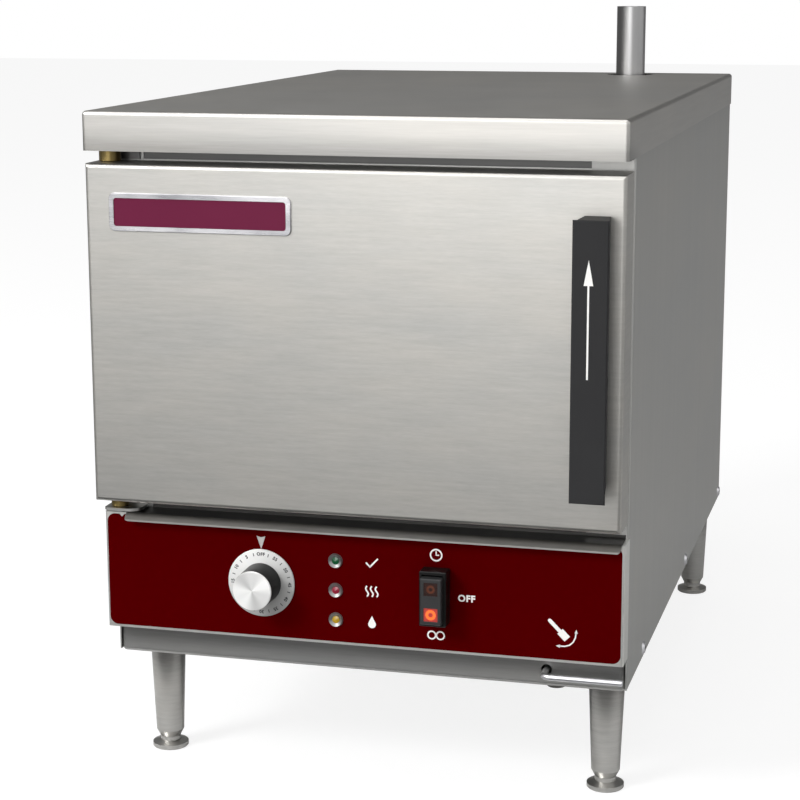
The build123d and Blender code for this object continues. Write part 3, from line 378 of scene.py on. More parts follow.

# What a look may say: the shade entry gives two points and how much painted shade darkens the metal at the
# second, and the top entries change the faces that look up: topRoughness their roughness, the top shade entry
# their colour by painted shade
metalLooks = {
    # Painted shade: the door darkens from its top edge over the next 130 mm, for the fall of its reflection
    "doorSteel": {"colour": (0.487, 0.479, 0.458), "stretch": (110, 110, 1500), "streaks": 0.20,
                  "clouds": 0.16, "cloudSize": 16.0, "roughness": 0.36, "bump": 0.10,
                  "shade": ((0, 0, doorHigh.z), (0, 0, doorHigh.z - 130 * mm), 0.08)},
    # Painted shade: the cover's front darker towards its bottom edge, fading out along the sides
    "coverSteel": {"colour": (0.49, 0.482, 0.465), "stretch": (40, 40, 1200), "streaks": 0.16,
                   "clouds": 0.14, "cloudSize": 12.0, "roughness": 0.34, "bump": 0.08, "topRoughness": 0.07,
                   "shade": ((0, coverLow.y, coverHigh.z - 10 * mm),
                             (0, coverLow.y - 6 * mm, coverLow.z), 0.38)},
    "sideSteel": {"colour": (0.46, 0.46, 0.45), "stretch": (500, 500, 12), "streaks": 0.09,
                  "clouds": 0.10, "cloudSize": 7.0, "roughness": 0.40, "bump": 0.05},
    # A lighter copy of the side steel: painted light on the rear panel
    "paintedLightRearSteel": {"colour": (0.62, 0.62, 0.61), "stretch": (500, 500, 12), "streaks": 0.09,
                  "clouds": 0.10, "cloudSize": 7.0, "roughness": 0.40, "bump": 0.05},
    # Painted shade: the base pan darker from 22 mm above its underside upwards, fading in from 4 mm
    "baseSteel": {"colour": (0.44, 0.44, 0.435), "stretch": (45, 45, 1300), "streaks": 0.14,
                  "clouds": 0.10, "roughness": 0.36, "bump": 0.08,
                  "shade": ((0, 0, baseLow.z + 4 * mm), (0, 0, baseLow.z + 22 * mm), 0.52)},
    "leafSteel": {"colour": (0.50, 0.50, 0.49), "stretch": (45, 45, 1300), "streaks": 0.10,
                  "clouds": 0.10, "roughness": 0.30, "bump": 0.05},
    # A dark copy of the steel: painted shade in the gap under the cover and on the upper hinge bracket
    "frameSteel": {"colour": (0.13, 0.13, 0.13), "stretch": (45, 45, 1300), "streaks": 0.14,
                   "clouds": 0.10, "roughness": 0.40, "bump": 0.05},
    # A light copy of the steel: painted light on the control housing
    "paintedLightHousingSteel": {"colour": (0.78, 0.78, 0.76), "stretch": (45, 45, 1300), "streaks": 0.10,
                     "clouds": 0.10, "roughness": 0.34, "bump": 0.05},
    # Painted shadow of the door: the tray darker behind its front lip, from 2 mm to 8 mm back
    "traySteel": {"colour": (0.50, 0.49, 0.475), "stretch": (55, 55, 1500), "streaks": 0.12,
                  "clouds": 0.10, "roughness": 0.34, "bump": 0.06,
                  "shade": ((0, trayLow.y + 2 * mm, 0), (0, trayLow.y + 8 * mm, 0), 0.85)},
    "valveMetal": {"colour": (0.13, 0.13, 0.12), "stretch": (300, 300, 300), "streaks": 0.20,
                   "clouds": 0.20, "cloudSize": 60.0, "roughness": 0.40, "bump": 0.10},
    "innerSteel": {"colour": (0.52, 0.52, 0.51), "stretch": (40, 40, 900), "streaks": 0.10,
                   "clouds": 0.08, "roughness": 0.28, "bump": 0.05},
    # Painted shadow of the base pan: the legs darker from 58 mm up to 100 mm above the floor
    "turnedSteel": {"colour": (0.50, 0.495, 0.48), "stretch": (90, 90, 1400), "streaks": 0.22,
                    "clouds": 0.10, "roughness": 0.30, "bump": 0.10,
                    "shade": ((0, 0, 58 * mm), (0, 0, 100 * mm), 0.50)},
    # Painted shade: the pipe darker on its left side, from its middle to 6.5 mm left
    "pipeSteel": {"colour": (0.41, 0.41, 0.415), "stretch": (900, 900, 14), "streaks": 0.16,
                  "clouds": 0.05, "roughness": 0.28, "bump": 0.06,
                  "shade": ((pipeX + 0.5 * mm, 0, 0), (pipeX - 6.5 * mm, 0, 0), 0.58)},
    "polishedSteel": {"colour": (0.70, 0.70, 0.73), "stretch": (200, 200, 500), "streaks": 0.08,
                      "clouds": 0.06, "roughness": 0.30, "bump": 0.03},
    "bezelSteel": {"colour": (0.34, 0.34, 0.34), "stretch": (900, 900, 900), "streaks": 0.12,
                   "clouds": 0.08, "roughness": 0.42, "bump": 0.05},
    "brassMetal": {"colour": (0.22, 0.165, 0.065), "stretch": (300, 300, 1500), "streaks": 0.25,
                   "clouds": 0.25, "cloudSize": 90.0, "roughness": 0.30, "bump": 0.10},
    "zincPlate": {"colour": (0.55, 0.56, 0.54), "stretch": (300, 300, 300), "streaks": 0.20,
                  "clouds": 0.25, "cloudSize": 60.0, "roughness": 0.36, "bump": 0.10},
    "castMetal": {"colour": (0.58, 0.58, 0.58), "stretch": (500, 500, 500), "streaks": 0.25,
                  "clouds": 0.20, "cloudSize": 40.0, "roughness": 0.50, "bump": 0.40},
    "silverRim": {"colour": (0.52, 0.52, 0.545), "stretch": (30, 30, 900), "streaks": 0.10,
                  "clouds": 1.9, "cloudSize": 30.0, "roughness": 0.24, "bump": 0.03},
}
plasticLooks = {
    # Painted shade on the grip's top face
    "gripPlastic": {"colour": (0.029, 0.029, 0.030), "roughness": 0.50, "bump": 0.30, "specular": 0.05,
                    "paintedTopShade": 0.85},
    "knobPlastic": {"colour": (0.006, 0.006, 0.006), "roughness": 0.40, "bump": 0.10, "specular": 0.10},
    "switchPlastic": {"colour": (0.006, 0.006, 0.006), "roughness": 0.30, "bump": 0.12, "specular": 0.25},
    "rockerPlastic": {"colour": (0.032, 0.032, 0.033), "roughness": 0.36, "bump": 0.12},
    "greyPlastic": {"colour": (0.40, 0.40, 0.38), "roughness": 0.50, "bump": 0.20},
    "glandPlastic": {"colour": (0.018, 0.018, 0.018), "roughness": 0.45, "bump": 0.20},
    "redFilm": {"colour": (0.064, 0.0, 0.0004), "roughness": 0.45, "bump": 0.05, "variation": 0.08,
                "specular": 0.0},
    "burgundyEnamel": {"colour": (0.122, 0.012, 0.040), "roughness": 0.30, "bump": 0.04,
                       "variation": 0.10, "specular": 0.08},
    "gasketRubber": {"colour": (0.055, 0.052, 0.050), "roughness": 0.65, "bump": 0.30},
    "mineralWool": {"colour": (0.62, 0.53, 0.33), "roughness": 0.95, "bump": 0.90,
                    "grainSize": 260.0, "variation": 0.40},
    "greenLens": {"colour": (0.002, 0.075, 0.024), "roughness": 0.10, "bump": 0.0, "coat": 1.0,
                  "coatRoughness": 0.05, "variation": 0.5},
    "redLens": {"colour": (0.26, 0.014, 0.035), "roughness": 0.10, "bump": 0.0, "coat": 1.0,
                "coatRoughness": 0.05, "variation": 0.5},
    "yellowLens": {"colour": (0.40, 0.25, 0.015), "roughness": 0.10, "bump": 0.0, "coat": 1.0,
                   "coatRoughness": 0.05, "variation": 0.5},
    "whiteInk": {"colour": (0.80, 0.79, 0.77), "roughness": 0.45, "bump": 0.03, "variation": 0.06},
    "greyInk": {"colour": (0.42, 0.41, 0.40), "roughness": 0.40, "bump": 0.03, "variation": 0.06},
    "darkInk": {"colour": (0.030, 0.030, 0.032), "roughness": 0.50, "bump": 0.03, "variation": 0.10},
    "recessShade": {"colour": (0.030, 0.030, 0.030), "roughness": 0.60, "bump": 0.10},
}
spunLooks = {
    # Painted reflection sectors on both faces, and on the dial painted light leaning to one side
    "capMetal": {"centre": "knob_cap", "colour": (0.82, 0.82, 0.81), "paintedSectors": 0.30, "turn": 0.5,
                 "paintedLean": 0.0, "metallic": 0.35, "roughness": 0.32, "bump": 0.1},
    "dialMetal": {"centre": "timer_dial", "colour": (0.62, 0.62, 0.61), "paintedSectors": 0.08, "turn": 2.1,
                  "paintedLean": 0.55, "metallic": 0.30, "roughness": 0.40, "bump": 0.1},
}
windowLooks = {
    # The upper window is unlit; its faint glow is painted light
    "darkWindow": {"centre": "rocker_window_upper", "ringRadius": 2.6 * mm, "ringWidth": 1.7 * mm,
                   "field": (0.012, 0.004, 0.003), "fleck": (0.030, 0.008, 0.005),
                   "ring": (0.085, 0.022, 0.009), "glow": 0.15},
    "litWindow": {"centre": "rocker_window_lower", "ringRadius": 3.2 * mm, "ringWidth": 2.1 * mm,
                  "field": (0.20, 0.012, 0.008), "fleck": (0.40, 0.050, 0.040),
                  "ring": (0.95, 0.15, 0.022), "glow": 0.5},
}
makers = ((brushedMetal, metalLooks), (mouldedPlastic, plasticLooks), (spunMetal, spunLooks),
          (ringWindow, windowLooks))
finishes = {name: makeFinish(name, look) for makeFinish, looks in makers for name, look in looks.items()}
print("materials built:", len(finishes))

# Which finish each node has
nodeFinishes = {
    "doorSteel": ["door_outer_panel"],
    "traySteel": ["drip_tray"],
    "paintedLightHousingSteel": ["control_housing"],
    "frameSteel": ["front_frame", "hinge_bracket_upper"],
    "leafSteel": ["hinge_bracket_lower"],
    "valveMetal": ["drain_valve_body"],
    "coverSteel": ["top_cover"],
    "sideSteel": ["side_panel_left", "side_panel_right"],
    "paintedLightRearSteel": ["rear_panel"],
    "baseSteel": ["base_pan"],
    "innerSteel": ["cooking_chamber", "pan_rack_left", "pan_rack_right", "door_inner_panel"],
    "turnedSteel": ["leg_front_left", "leg_front_right", "leg_rear_left", "leg_rear_right",
                    "foot_front_left", "foot_front_right", "foot_rear_left", "foot_rear_right"],
    "pipeSteel": ["vent_pipe", "drain_pipe"],
    "polishedSteel": ["drain_lever", "side_screws", "hinge_pins", "valve_ball"],
    "bezelSteel": ["lamp_bezels"],
    "brassMetal": ["hinge_bush_upper", "hinge_bush_lower"],
    "zincPlate": ["hinge_blocks", "latch_slide", "latch_guides", "latch_spring", "latch_strike",
                  "timer_body", "timer_shaft"],
    "castMetal": ["heater_plate"],
    "silverRim": ["nameplate"],
    "gripPlastic": ["handle_grip"],
    "knobPlastic": ["timer_knob"],
    "switchPlastic": ["switch_housing"],
    "rockerPlastic": ["switch_rocker"],
    "greyPlastic": ["contactor", "terminal_block"],
    "glandPlastic": ["cable_gland"],
    "redFilm": ["control_overlay"],
    "gasketRubber": ["door_gasket"],
    "mineralWool": ["chamber_insulation", "door_insulation"],
    "greenLens": ["lamp_lens_green"],
    "redLens": ["lamp_lens_red"],
    "yellowLens": ["lamp_lens_yellow"],
    "capMetal": ["knob_cap"],
    "dialMetal": ["timer_dial"],
    "darkWindow": ["rocker_window_upper"],
    "litWindow": ["rocker_window_lower"],
}
for finish, nodeNames in nodeFinishes.items():
    for nodeName in nodeNames:
        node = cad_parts[nodeName]
        if not node.material_slots:
            node.data.materials.append(None)
        for materialSlot in node.material_slots:
            materialSlot.material = finishes[finish]
dressed = {nodeName for nodeNames in nodeFinishes.values() for nodeName in nodeNames}
print("nodes without a finish:", sorted(set(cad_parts) - dressed))


# Helpers for pieces
def addPiece(name, mesh, finish, body):
    piece = linkObject(name, mesh)
    mesh.materials.clear()
    mesh.materials.append(finishes[finish])
    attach(piece, body)


def frontPlace(x, y, z):
    # Local X to the right, local Y up, local Z towards the front
    return Matrix.Translation((x, y, z)) @ Matrix.Rotation(math.radians(90), 4, "X")


def meshOf(thing):
    # The plain mesh of an object as its modifiers and curves make it
    bpy.context.view_layer.update()
    graph = bpy.context.evaluated_depsgraph_get()
    mesh = bpy.data.meshes.new_from_object(thing.evaluated_get(graph))
    bpy.data.objects.remove(thing)
    return mesh


# Printed letters: capitals of the built-in face are 0.7 of its size
lettering = {"capitalShare": 0.7, "heavier": 0.055, "spacing": 1.1, "curveSteps": 3}


def letteringMesh(words, height, thickness):
    curve = bpy.data.curves.new("lettering", "FONT")
    curve.body = words
    curve.size = height / lettering["capitalShare"]
    curve.offset = height * lettering["heavier"]
    curve.space_character = lettering["spacing"]
    curve.align_x = "CENTER"
    curve.align_y = "CENTER"
    curve.extrude = thickness
    curve.resolution_u = lettering["curveSteps"]
    return meshOf(linkObject("lettering", curve))


def flatShape(outlines, thickness):
    # Closed outlines in local X and Y, given a little thickness towards the front
    vertices, faces = [], []
    for outline in outlines:
        start, count = len(vertices), len(outline)
        vertices += [(x, y, thickness) for x, y in outline] + [(x, y, 0) for x, y in outline]
        faces.append([start + i for i in range(count)])
        faces.append([start + count + i for i in reversed(range(count))])
        for i in range(count):
            j = (i + 1) % count
            faces.append([start + i, start + count + i, start + count + j, start + j])
    mesh = bpy.data.meshes.new("flatShape")
    mesh.from_pydata(vertices, [], faces)
    return mesh


def ribbonOutline(points, width):
    # A band of even width along a line
    left, right = [], []
    for index, point in enumerate(points):
        before = Vector(points[max(index - 1, 0)])
        after = Vector(points[min(index + 1, len(points) - 1)])
        along = (after - before).normalized()
        side = Vector((-along.y, along.x)) * width / 2
        left.append(tuple(Vector(point) + side))
        right.append(tuple(Vector(point) - side))
    return right + left[::-1]


def arcPoints(centre, radius, start, end, steps):
    angles = [math.radians(start + (end - start) * i / steps) for i in range(steps + 1)]
    return [(centre[0] + radius * math.cos(a), centre[1] + radius * math.sin(a)) for a in angles]


def roundedOutline(low, high, corner, steps):
    points = []
    for x, z, start in ((high[0] - corner, high[1] - corner, 0), (low[0] + corner, high[1] - corner, 90),
                        (low[0] + corner, low[1] + corner, 180), (high[0] - corner, low[1] + corner, 270)):
        points += arcPoints((x, z), corner, start, start + 90, steps)
    return points


def joinMeshes(name, placed):
    # One mesh from several, each with its place
    whole = bpy.data.meshes.new(name)
    vertices, faces = [], []
    for mesh, place in placed:
        start = len(vertices)
        vertices += [tuple(place @ vertex.co) for vertex in mesh.vertices]
        faces += [[start + i for i in face.vertices] for face in mesh.polygons]
        bpy.data.meshes.remove(mesh)
    whole.from_pydata(vertices, [], faces)
    return whole


# Geometry trees that repeat a small shape on points
def newRepeatTree(name, sizes):
    tree = bpy.data.node_groups.new(name, "GeometryNodeTree")
    tree.interface.new_socket("Geometry", in_out="INPUT", socket_type="NodeSocketGeometry")
    for socketName, kind, value in sizes:
        socket = tree.interface.new_socket(socketName, in_out="INPUT", socket_type=kind)
        socket.default_value = value
    tree.interface.new_socket("Ink", in_out="INPUT", socket_type="NodeSocketMaterial")
    tree.interface.new_socket("Geometry", in_out="OUTPUT", socket_type="NodeSocketGeometry")
    return tree, addNode(tree, "NodeGroupInput")


def repeatShape(tree, given, points, shape, rotation=None):
    # Ends the tree: the shape on every point, made real and given its ink
    instances = addNode(tree, "GeometryNodeInstanceOnPoints")
    join(tree, points, instances.inputs["Points"])
    join(tree, shape, instances.inputs["Instance"])
    if rotation is not None:
        join(tree, rotation, instances.inputs["Rotation"])
    real = addNode(tree, "GeometryNodeRealizeInstances")
    join(tree, instances.outputs["Instances"], real.inputs["Geometry"])
    ink = addNode(tree, "GeometryNodeSetMaterial")
    join(tree, real.outputs["Geometry"], ink.inputs["Geometry"])
    join(tree, given.outputs["Ink"], ink.inputs["Material"])
    join(tree, ink.outputs["Geometry"], addNode(tree, "NodeGroupOutput").inputs["Geometry"])
    return tree


def runTree(tree, values, points=()):
    # Evaluates a tree on loose points, or on nothing, and returns the plain mesh
    mesh = bpy.data.meshes.new("points")
    mesh.from_pydata(points, [], [])
    holder = linkObject("holder", mesh)
    modifier = holder.modifiers.new("repeat", "NODES")
    modifier.node_group = tree
    for item in tree.interface.items_tree:
        if item.item_type == "SOCKET" and item.in_out == "INPUT" and item.name in values:
            modifier[item.identifier] = values[item.name]
    return meshOf(holder)


# Timer: numbers and marks on the dial, which turn with it
dialPrint = {
    "numberRadius": 25.6 * mm,
    "numberHeight": 2.8 * mm,
    "inkThickness": 0.05 * mm,
    "numberCount": 12,
    "minutesEach": 5,
    "markLength": 2.8 * mm,
    "markWidth": 0.7 * mm,
}


def ringTree(name):
    # Repeats a small bar round a ring, each one pointing at the middle
    tree, given = newRepeatTree(name, (
        ("Count", "NodeSocketInt", 12),
        ("Radius", "NodeSocketFloat", 0.02),
        ("Bar Size", "NodeSocketVector", (0.001, 0.001, 0.001)),
        ("Start Angle", "NodeSocketFloat", 0.0)))
    circle = addNode(tree, "GeometryNodeMeshCircle")
    join(tree, given.outputs["Count"], circle.inputs["Vertices"])
    join(tree, given.outputs["Radius"], circle.inputs["Radius"])
    turn = addNode(tree, "GeometryNodeTransform")
    join(tree, circle.outputs["Mesh"], turn.inputs["Geometry"])
    spin = addNode(tree, "ShaderNodeCombineXYZ")
    join(tree, given.outputs["Start Angle"], spin.inputs["Z"])
    join(tree, spin.outputs[0], turn.inputs["Rotation"])
    bar = addNode(tree, "GeometryNodeMeshCube")
    join(tree, given.outputs["Bar Size"], bar.inputs["Size"])
    aim = addNode(tree, "FunctionNodeAlignRotationToVector", axis="Y")
    join(tree, addNode(tree, "GeometryNodeInputPosition").outputs[0], aim.inputs["Vector"])
    return repeatShape(tree, given, turn.outputs["Geometry"], bar.outputs["Mesh"], aim.outputs["Rotation"])


def makeDialNumbers():
    count, thickness = dialPrint["numberCount"], dialPrint["inkThickness"]
    dialCentre, dialLow = middle("timer_dial"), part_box("timer_dial")[0]
    dialPlace = frontPlace(dialCentre.x, dialLow.y, dialCentre.z)
    marks = runTree(ringTree("dialMarks"), {
        "Count": count,
        "Radius": dialPrint["numberRadius"],
        "Bar Size": (dialPrint["markWidth"], dialPrint["markLength"], 2 * thickness),
        "Start Angle": math.pi / count,
        "Ink": finishes["darkInk"],
    })
    placed = [(marks, dialPlace)]
    for number in range(count):
        turn = math.radians(90 + number * 360 / count)
        words = str(number * dialPrint["minutesEach"]) if number else "OFF"
        out = Vector((math.cos(turn), math.sin(turn), 0)) * dialPrint["numberRadius"]
        upright = Matrix.Rotation(turn - math.radians(90), 4, "Z")
        placed.append((letteringMesh(words, dialPrint["numberHeight"], thickness),
                       dialPlace @ Matrix.Translation(out) @ upright))
    addPiece("dialNumbers", joinMeshes("dialNumbers", placed), "darkInk", "timer_knob")


makeDialNumbers()
print("dial numbers made")

# Print on the red panel. Its heights, and those of the handle's arrow, are over the underside of
# the cabinet
underside = baseLow.z
panelPrint = {
    "thickness": 0.05 * mm,
    "signScale": 1.25,
    "lampSignX": 13.0 * mm,
    "tickZ": 105.4 * mm,
    "steamZ": 80.4 * mm,
    "dropZ": 52.7 * mm,
    "switchSignX": 69.4 * mm,
    "clockZ": 116.5 * mm,
    "loopsZ": 46.0 * mm,
    "offX": 95.8 * mm,
    "offZ": 80.1 * mm,
    "offHeight": 5.6 * mm,
    "pointerX": -85.7 * mm,
    "pointerTip": 111.0 * mm,
    "pointerTop": 122.7 * mm,
    "pointerHalf": 4.0 * mm,
    "pointerNotch": 1.2 * mm,
}

# The plain signs in millimetres, drawn round their own middles
signShapes = {
    "line": 1.05,
    "tickShort": ((-4.0, 0.2), (-1.2, -2.8)),
    "tickLong": ((-1.6, -3.1), (4.4, 3.4)),
    "waveOffsets": (-3.4, 0.0, 3.4),
    "waveSwing": 0.9,
    "waveHeight": 7.4,
    "waveSteps": 12,
    "dropTip": 4.8,
    "dropMiddle": -1.2,
    "dropRadius": 2.2,
    "dropArc": (150, 390, 16),
    "ringArc": (0, 359, 28),
    "clockRadius": 3.9,
    "clockHands": (((0.0, -0.3), (0.0, 2.7)), ((-0.2, 0.0), (2.1, 0.0))),
    "handShare": 0.8,
    "loopRadius": 2.7,
    "loopOffset": 3.0,
}

# The drain lever's sign in millimetres, drawn in its place on the panel
leverSign = {
    "top": (167.2, 66.9),
    "end": (182.2, 51.8),
    "gripStart": 0.58,
    "rodWidth": 3.2,
    "gripWidth": 6.4,
    "capArc": (45, 225, 8),
    "swing": ((175.0, 45.3), (180.0, 45.4), (184.0, 46.6), (187.0, 49.3), (188.9, 53.2), (189.6, 58.0)),
    "swingWidth": 1.15,
    "arrowSize": 3.4,
    "arrowHalf": 0.42,
    "arrows": (((172.6, 45.3), (-1, 0.03)), ((189.7, 60.6), (0.03, 1))),
}


def tickOutlines():
    return [ribbonOutline(signShapes[key], signShapes["line"]) for key in ("tickShort", "tickLong")]


def steamOutlines():
    steps, waves = signShapes["waveSteps"], []
    for offset in signShapes["waveOffsets"]:
        points = [(offset + signShapes["waveSwing"] * math.sin(step / steps * 2 * math.pi),
                   (step / steps - 0.5) * signShapes["waveHeight"]) for step in range(steps + 1)]
        waves.append(ribbonOutline(points, signShapes["line"]))
    return waves


def dropOutlines():
    radius = signShapes["dropRadius"] + signShapes["line"] / 2
    bowl = arcPoints((0, signShapes["dropMiddle"]), radius, *signShapes["dropArc"])
    return [[(0, signShapes["dropTip"])] + bowl]


def ringOutline(x, radius):
    return ribbonOutline(arcPoints((x, 0), radius, *signShapes["ringArc"]), signShapes["line"])


def clockOutlines():
    handWidth = signShapes["line"] * signShapes["handShare"]
    hands = [ribbonOutline(hand, handWidth) for hand in signShapes["clockHands"]]
    return [ringOutline(0, signShapes["clockRadius"])] + hands


def loopOutlines():
    return [ringOutline(side * signShapes["loopOffset"], signShapes["loopRadius"]) for side in (-1, 1)]


def leverOutlines():
    top, end = Vector(leverSign["top"]), Vector(leverSign["end"])
    grip = top.lerp(end, leverSign["gripStart"])
    outlines = [ribbonOutline([top, grip], leverSign["rodWidth"]),
                ribbonOutline([grip, end], leverSign["gripWidth"]),
                arcPoints(top, leverSign["rodWidth"] / 2, *leverSign["capArc"]),
                ribbonOutline(leverSign["swing"], leverSign["swingWidth"])]
    for tip, direction in leverSign["arrows"]:
        along = Vector(direction).normalized()
        side = Vector((-along.y, along.x)) * leverSign["arrowSize"] * leverSign["arrowHalf"]
        foot = Vector(tip) - along * leverSign["arrowSize"]
        outlines.append([tip, tuple(foot + side), tuple(foot - side)])
    return outlines


def placeOutlines(outlines, x, z, scale):
    return [[(x + px * scale, z + pz * scale) for px, pz in outline] for outline in outlines]


def makePanelPrint():
    thickness = panelPrint["thickness"]
    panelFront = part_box("control_overlay")[0].y
    panelPlace = frontPlace(0, panelFront, underside)
    signs = placeOutlines(leverOutlines(), 0, 0, mm)
    for outlines, column, row in ((tickOutlines(), "lampSignX", "tickZ"),
                                  (steamOutlines(), "lampSignX", "steamZ"),
                                  (dropOutlines(), "lampSignX", "dropZ"),
                                  (clockOutlines(), "switchSignX", "clockZ"),
                                  (loopOutlines(), "switchSignX", "loopsZ")):
        signs += placeOutlines(outlines, panelPrint[column], panelPrint[row], panelPrint["signScale"] * mm)
    offWord = letteringMesh("OFF", panelPrint["offHeight"], thickness)
    offPlace = frontPlace(panelPrint["offX"], panelFront, panelPrint["offZ"] + underside)
    signMesh = joinMeshes("panelSigns", [(flatShape(signs, thickness), panelPlace), (offWord, offPlace)])
    addPiece("panelSigns", signMesh, "whiteInk", "cabinet")
    x, top, half = (panelPrint[key] for key in ("pointerX", "pointerTop", "pointerHalf"))
    pointer = [(x - half, top), (x, panelPrint["pointerTip"]), (x + half, top),
               (x, top - panelPrint["pointerNotch"])]
    pointerMesh = joinMeshes("timerPointer", [(flatShape([pointer], thickness), panelPlace)])
    addPiece("timerPointer", pointerMesh, "greyInk", "cabinet")


makePanelPrint()
print("panel print made")

# Arrow on the handle
handleArrow = {
    "x": 204.4 * mm,
    "tip": 378.2 * mm,
    "headBase": 357.8 * mm,
    "headHalf": 3.8 * mm,
    "shaftEnd": 283.3 * mm,
    "shaftWidth": 1.5 * mm,
    "thickness": 0.05 * mm,
}


def makeHandleArrow():
    x, headBase, half = (handleArrow[key] for key in ("x", "headBase", "headHalf"))
    head = [(x, handleArrow["tip"]), (x - half, headBase), (x + half, headBase)]
    shaft = ribbonOutline([(x, handleArrow["shaftEnd"]), (x, headBase)], handleArrow["shaftWidth"])
    gripPlace = frontPlace(0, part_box("handle_grip")[0].y, underside)
    mesh = joinMeshes("handleArrow", [(flatShape([head, shaft], handleArrow["thickness"]), gripPlace)])
    addPiece("handleArrow", mesh, "whiteInk", "handle")


makeHandleArrow()
print("handle arrow made")

# Enamel field of the nameplate, bare
plateField = {"rim": 4.2 * mm, "corner": 2.5 * mm, "cornerSteps": 6, "recess": 0.7 * mm,
              "thickness": 0.05 * mm}


def makePlateField():
    low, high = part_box("nameplate")
    rim = plateField["rim"]
    outline = roundedOutline((low.x + rim, low.z + rim), (high.x - rim, high.z - rim),
                             plateField["corner"], plateField["cornerSteps"])
    place = frontPlace(0, low.y + plateField["recess"], 0)
    mesh = joinMeshes("plateField", [(flatShape([outline], plateField["thickness"]), place)])
    addPiece("plateField", mesh, "burgundyEnamel", "door")


makePlateField()
print("nameplate field made")

# Cross recesses in the six side screws, repeated by a tree
screwCross = {"length": 6.4 * mm, "width": 1.5 * mm, "depth": 0.12 * mm}


def crossTree(name):
    # Puts a crossed pair of bars on every point of the given mesh
    tree, given = newRepeatTree(name, (
        ("Length", "NodeSocketFloat", 0.006),
        ("Width", "NodeSocketFloat", 0.001),
        ("Depth", "NodeSocketFloat", 0.0001)))
    both = addNode(tree, "GeometryNodeJoinGeometry")
    for first, second in (("Length", "Width"), ("Width", "Length")):
        size = addNode(tree, "ShaderNodeCombineXYZ")
        join(tree, given.outputs["Depth"], size.inputs["X"])
        join(tree, given.outputs[first], size.inputs["Y"])
        join(tree, given.outputs[second], size.inputs["Z"])
        bar = addNode(tree, "GeometryNodeMeshCube")
        join(tree, size.outputs[0], bar.inputs["Size"])
        join(tree, bar.outputs["Mesh"], both.inputs["Geometry"])
    return repeatShape(tree, given, given.outputs["Geometry"], both.outputs["Geometry"])


def makeScrewCrosses():
    low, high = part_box("side_screws")
    centre, headRadius = middle("side_screws"), (high.z - low.z) / 2
    rows = (low.y + headRadius, centre.y, high.y - headRadius)
    mesh = runTree(crossTree("screwCrosses"), {
        "Length": screwCross["length"],
        "Width": screwCross["width"],
        "Depth": screwCross["depth"],
        "Ink": finishes["recessShade"],
    }, [(x, y, centre.z) for x in (low.x, high.x) for y in rows])
    addPiece("screwCrosses", mesh, "recessShade", "cabinet")


makeScrewCrosses()
print("screw crosses made")

# Stage: a pale floor, three cards that only reflections see, soft lamps and a pale world
floorLook = {"reach": 14.0, "colour": 0.85, "roughness": 0.9, "pageGlow": 1.2, "whiteness": 0.7}


def makeFloor():
    reach, grey = floorLook["reach"], floorLook["colour"]
    corners = [(-reach, -reach, 0), (reach, -reach, 0), (reach, reach, 0), (-reach, reach, 0)]
    mesh = bpy.data.meshes.new("floor")
    mesh.from_pydata(corners, [], [[0, 1, 2, 3]])
    material, tree, shader = newMaterial("paleFloor")
    setInputs(shader, {
        "Base Color": (grey, grey, grey, 1),
        "Roughness": floorLook["roughness"],
        "Specular IOR Level": 0.0,
    })
    page = addNode(tree, "ShaderNodeEmission")
    page.inputs["Strength"].default_value = floorLook["pageGlow"]
    seen = addNode(tree, "ShaderNodeLightPath").outputs["Is Camera Ray"]
    blend = addNode(tree, "ShaderNodeMixShader")
    join(tree, maths(tree, "MULTIPLY", seen, floorLook["whiteness"]), blend.inputs[0])
    join(tree, shader.outputs[0], blend.inputs[1])
    join(tree, page.outputs[0], blend.inputs[2])
    join(tree, blend.outputs[0], tree.nodes["Material Output"].inputs["Surface"])
    mesh.materials.append(material)
    linkObject("floor", mesh)


# Each card is a bent strip swept along X or Y, with its brightness running between two places on
# one axis
cardLooks = {
    "backCard": {"bend": [(0.70, 0.01), (3.2, 0.01), (3.8, 0.25), (4.1, 0.9), (4.1, 2.4), (3.6, 3.2),
                          (2.4, 3.6), (0.2, 3.7)],
                 "along": "X", "reach": (-6.0, 6.0), "axis": "Z", "span": (0.05, 0.9),
                 "glow": (0.35, 0.145)},
    "frontCard": {"bend": [(-3.4, 0.012), (-0.40, 0.012)],
                  "along": "X", "reach": (-2.6, 1.8), "axis": "Y", "span": (-0.35, -2.6),
                  "glow": (0.08, 0.80)},
    "leftCard": {"bend": [(-0.62, 0.014), (-2.4, 0.014), (-2.9, 0.5), (-2.9, 3.2)],
                 "along": "Y", "reach": (-1.5, 2.2), "axis": "Z", "span": (0.0, 1.5),
                 "glow": (0.30, 0.48)},
}


def makeCard(name, look):
    vertices = []
    for across, height in look["bend"]:
        for reach in look["reach"]:
            vertices.append((reach, across, height) if look["along"] == "X" else (across, reach, height))
    faces = [[2 * i, 2 * i + 1, 2 * i + 3, 2 * i + 2] for i in range(len(look["bend"]) - 1)]
    mesh = bpy.data.meshes.new(name)
    mesh.from_pydata(vertices, [], faces)
    material, tree = newMaterial(name)[:2]
    parts = addNode(tree, "ShaderNodeSeparateXYZ")
    join(tree, objectPlace(tree), parts.inputs[0])
    brightness = remap(tree, parts.outputs[look["axis"]], *look["span"], *look["glow"])
    glow = addNode(tree, "ShaderNodeEmission")
    join(tree, brightness, glow.inputs["Strength"])
    join(tree, glow.outputs[0], tree.nodes["Material Output"].inputs["Surface"])
    mesh.materials.append(material)
    card = linkObject(name, mesh)
    card.visible_camera = False
    card.visible_diffuse = False
    card.visible_shadow = False


# The world is white to the camera and to reflections, and dimmer as a light
worldLook = {"ambient": 0.36}


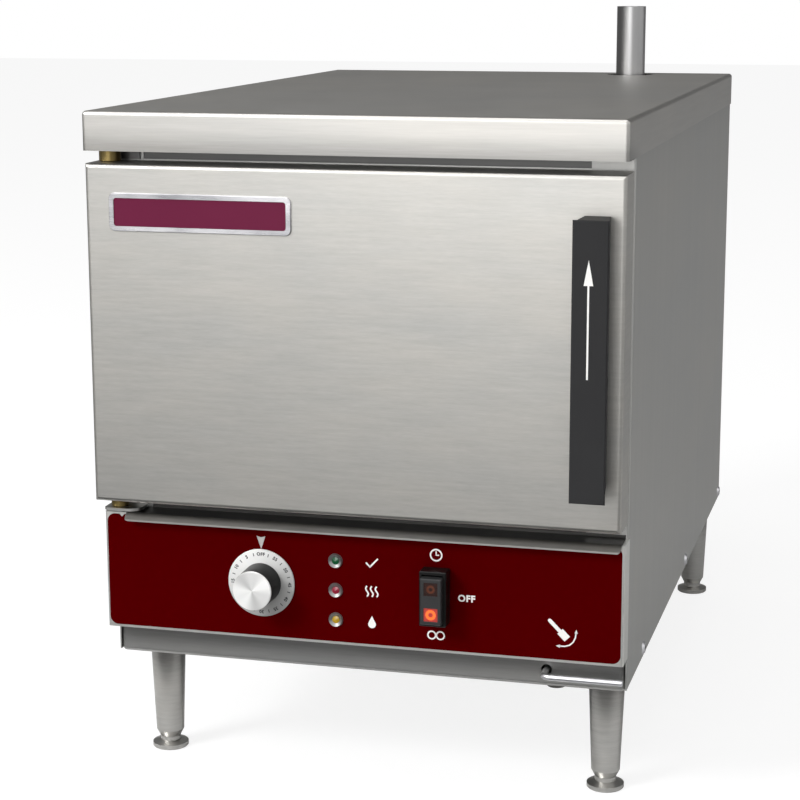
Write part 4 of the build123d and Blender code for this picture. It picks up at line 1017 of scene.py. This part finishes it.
def makeWorld():
    world = bpy.data.worlds.new("studio")
    bpy.context.scene.world = world
    world.use_nodes = True
    tree = world.node_tree
    background = tree.nodes["Background"]
    background.inputs["Color"].default_value = (1, 1, 1, 1)
    rays = addNode(tree, "ShaderNodeLightPath").outputs
    seen = maths(tree, "MAXIMUM", rays["Is Camera Ray"], rays["Is Glossy Ray"])
    mask = maths(tree, "MAXIMUM", seen, rays["Is Transmission Ray"])
    ambient = worldLook["ambient"]
    strength = maths(tree, "ADD", maths(tree, "MULTIPLY", mask, 1 - ambient), ambient)
    join(tree, strength, background.inputs["Strength"])


lampTarget = (0, 0, 0.33)
lampLooks = {
    "keyLamp": {"place": (-2.6, -3.2, 2.9), "size": (1.4, 1.4), "power": 150.0},
    "frontPanel": {"place": (-0.3, -4.6, 1.1), "size": (2.6, 1.9), "power": 40.0},
    "topLamp": {"place": (-0.4, -1.0, 3.4), "size": (2.4, 1.2), "power": 22.0},
}


def makeLamp(name, look):
    light = bpy.data.lights.new(name, "AREA")
    light.shape = "RECTANGLE"
    light.size, light.size_y = look["size"]
    light.energy = look["power"]
    lamp = linkObject(name, light)
    lamp.location = look["place"]
    lamp.rotation_euler = (Vector(lampTarget) - lamp.location).to_track_quat("-Z", "Y").to_euler()


# Camera, at the photograph's place and angle, in metres, degrees and the lens's millimetres
cameraLook = {
    "place": (0.4768, -1.9905, 0.7063),
    "azimuth": 14.893,
    "elevation": 11.635,
    "roll": -0.146,
    "lens": 94.14,
    "sensor": 36.0,
}


def makeCamera():
    around, above, roll = (math.radians(cameraLook[key]) for key in ("azimuth", "elevation", "roll"))
    back = Vector((math.sin(around) * math.cos(above), -math.cos(around) * math.cos(above), math.sin(above)))
    right = Vector((0, 0, 1)).cross(back).normalized()
    up = back.cross(right)
    rolledRight = right * math.cos(roll) + up * math.sin(roll)
    rolledUp = up * math.cos(roll) - right * math.sin(roll)
    data = bpy.data.cameras.new("camera")
    data.lens, data.sensor_width = cameraLook["lens"], cameraLook["sensor"]
    camera = linkObject("camera", data)
    turn = Matrix((rolledRight, rolledUp, back)).transposed().to_4x4()
    camera.matrix_world = Matrix.Translation(cameraLook["place"]) @ turn
    bpy.context.scene.camera = camera


makeFloor()
for cardName, cardLook in cardLooks.items():
    makeCard(cardName, cardLook)
makeWorld()
for lampName, lampLook in lampLooks.items():
    makeLamp(lampName, lampLook)
makeCamera()
bpy.context.scene.view_settings.view_transform = "Standard"
print("stage, lamps and camera ready")
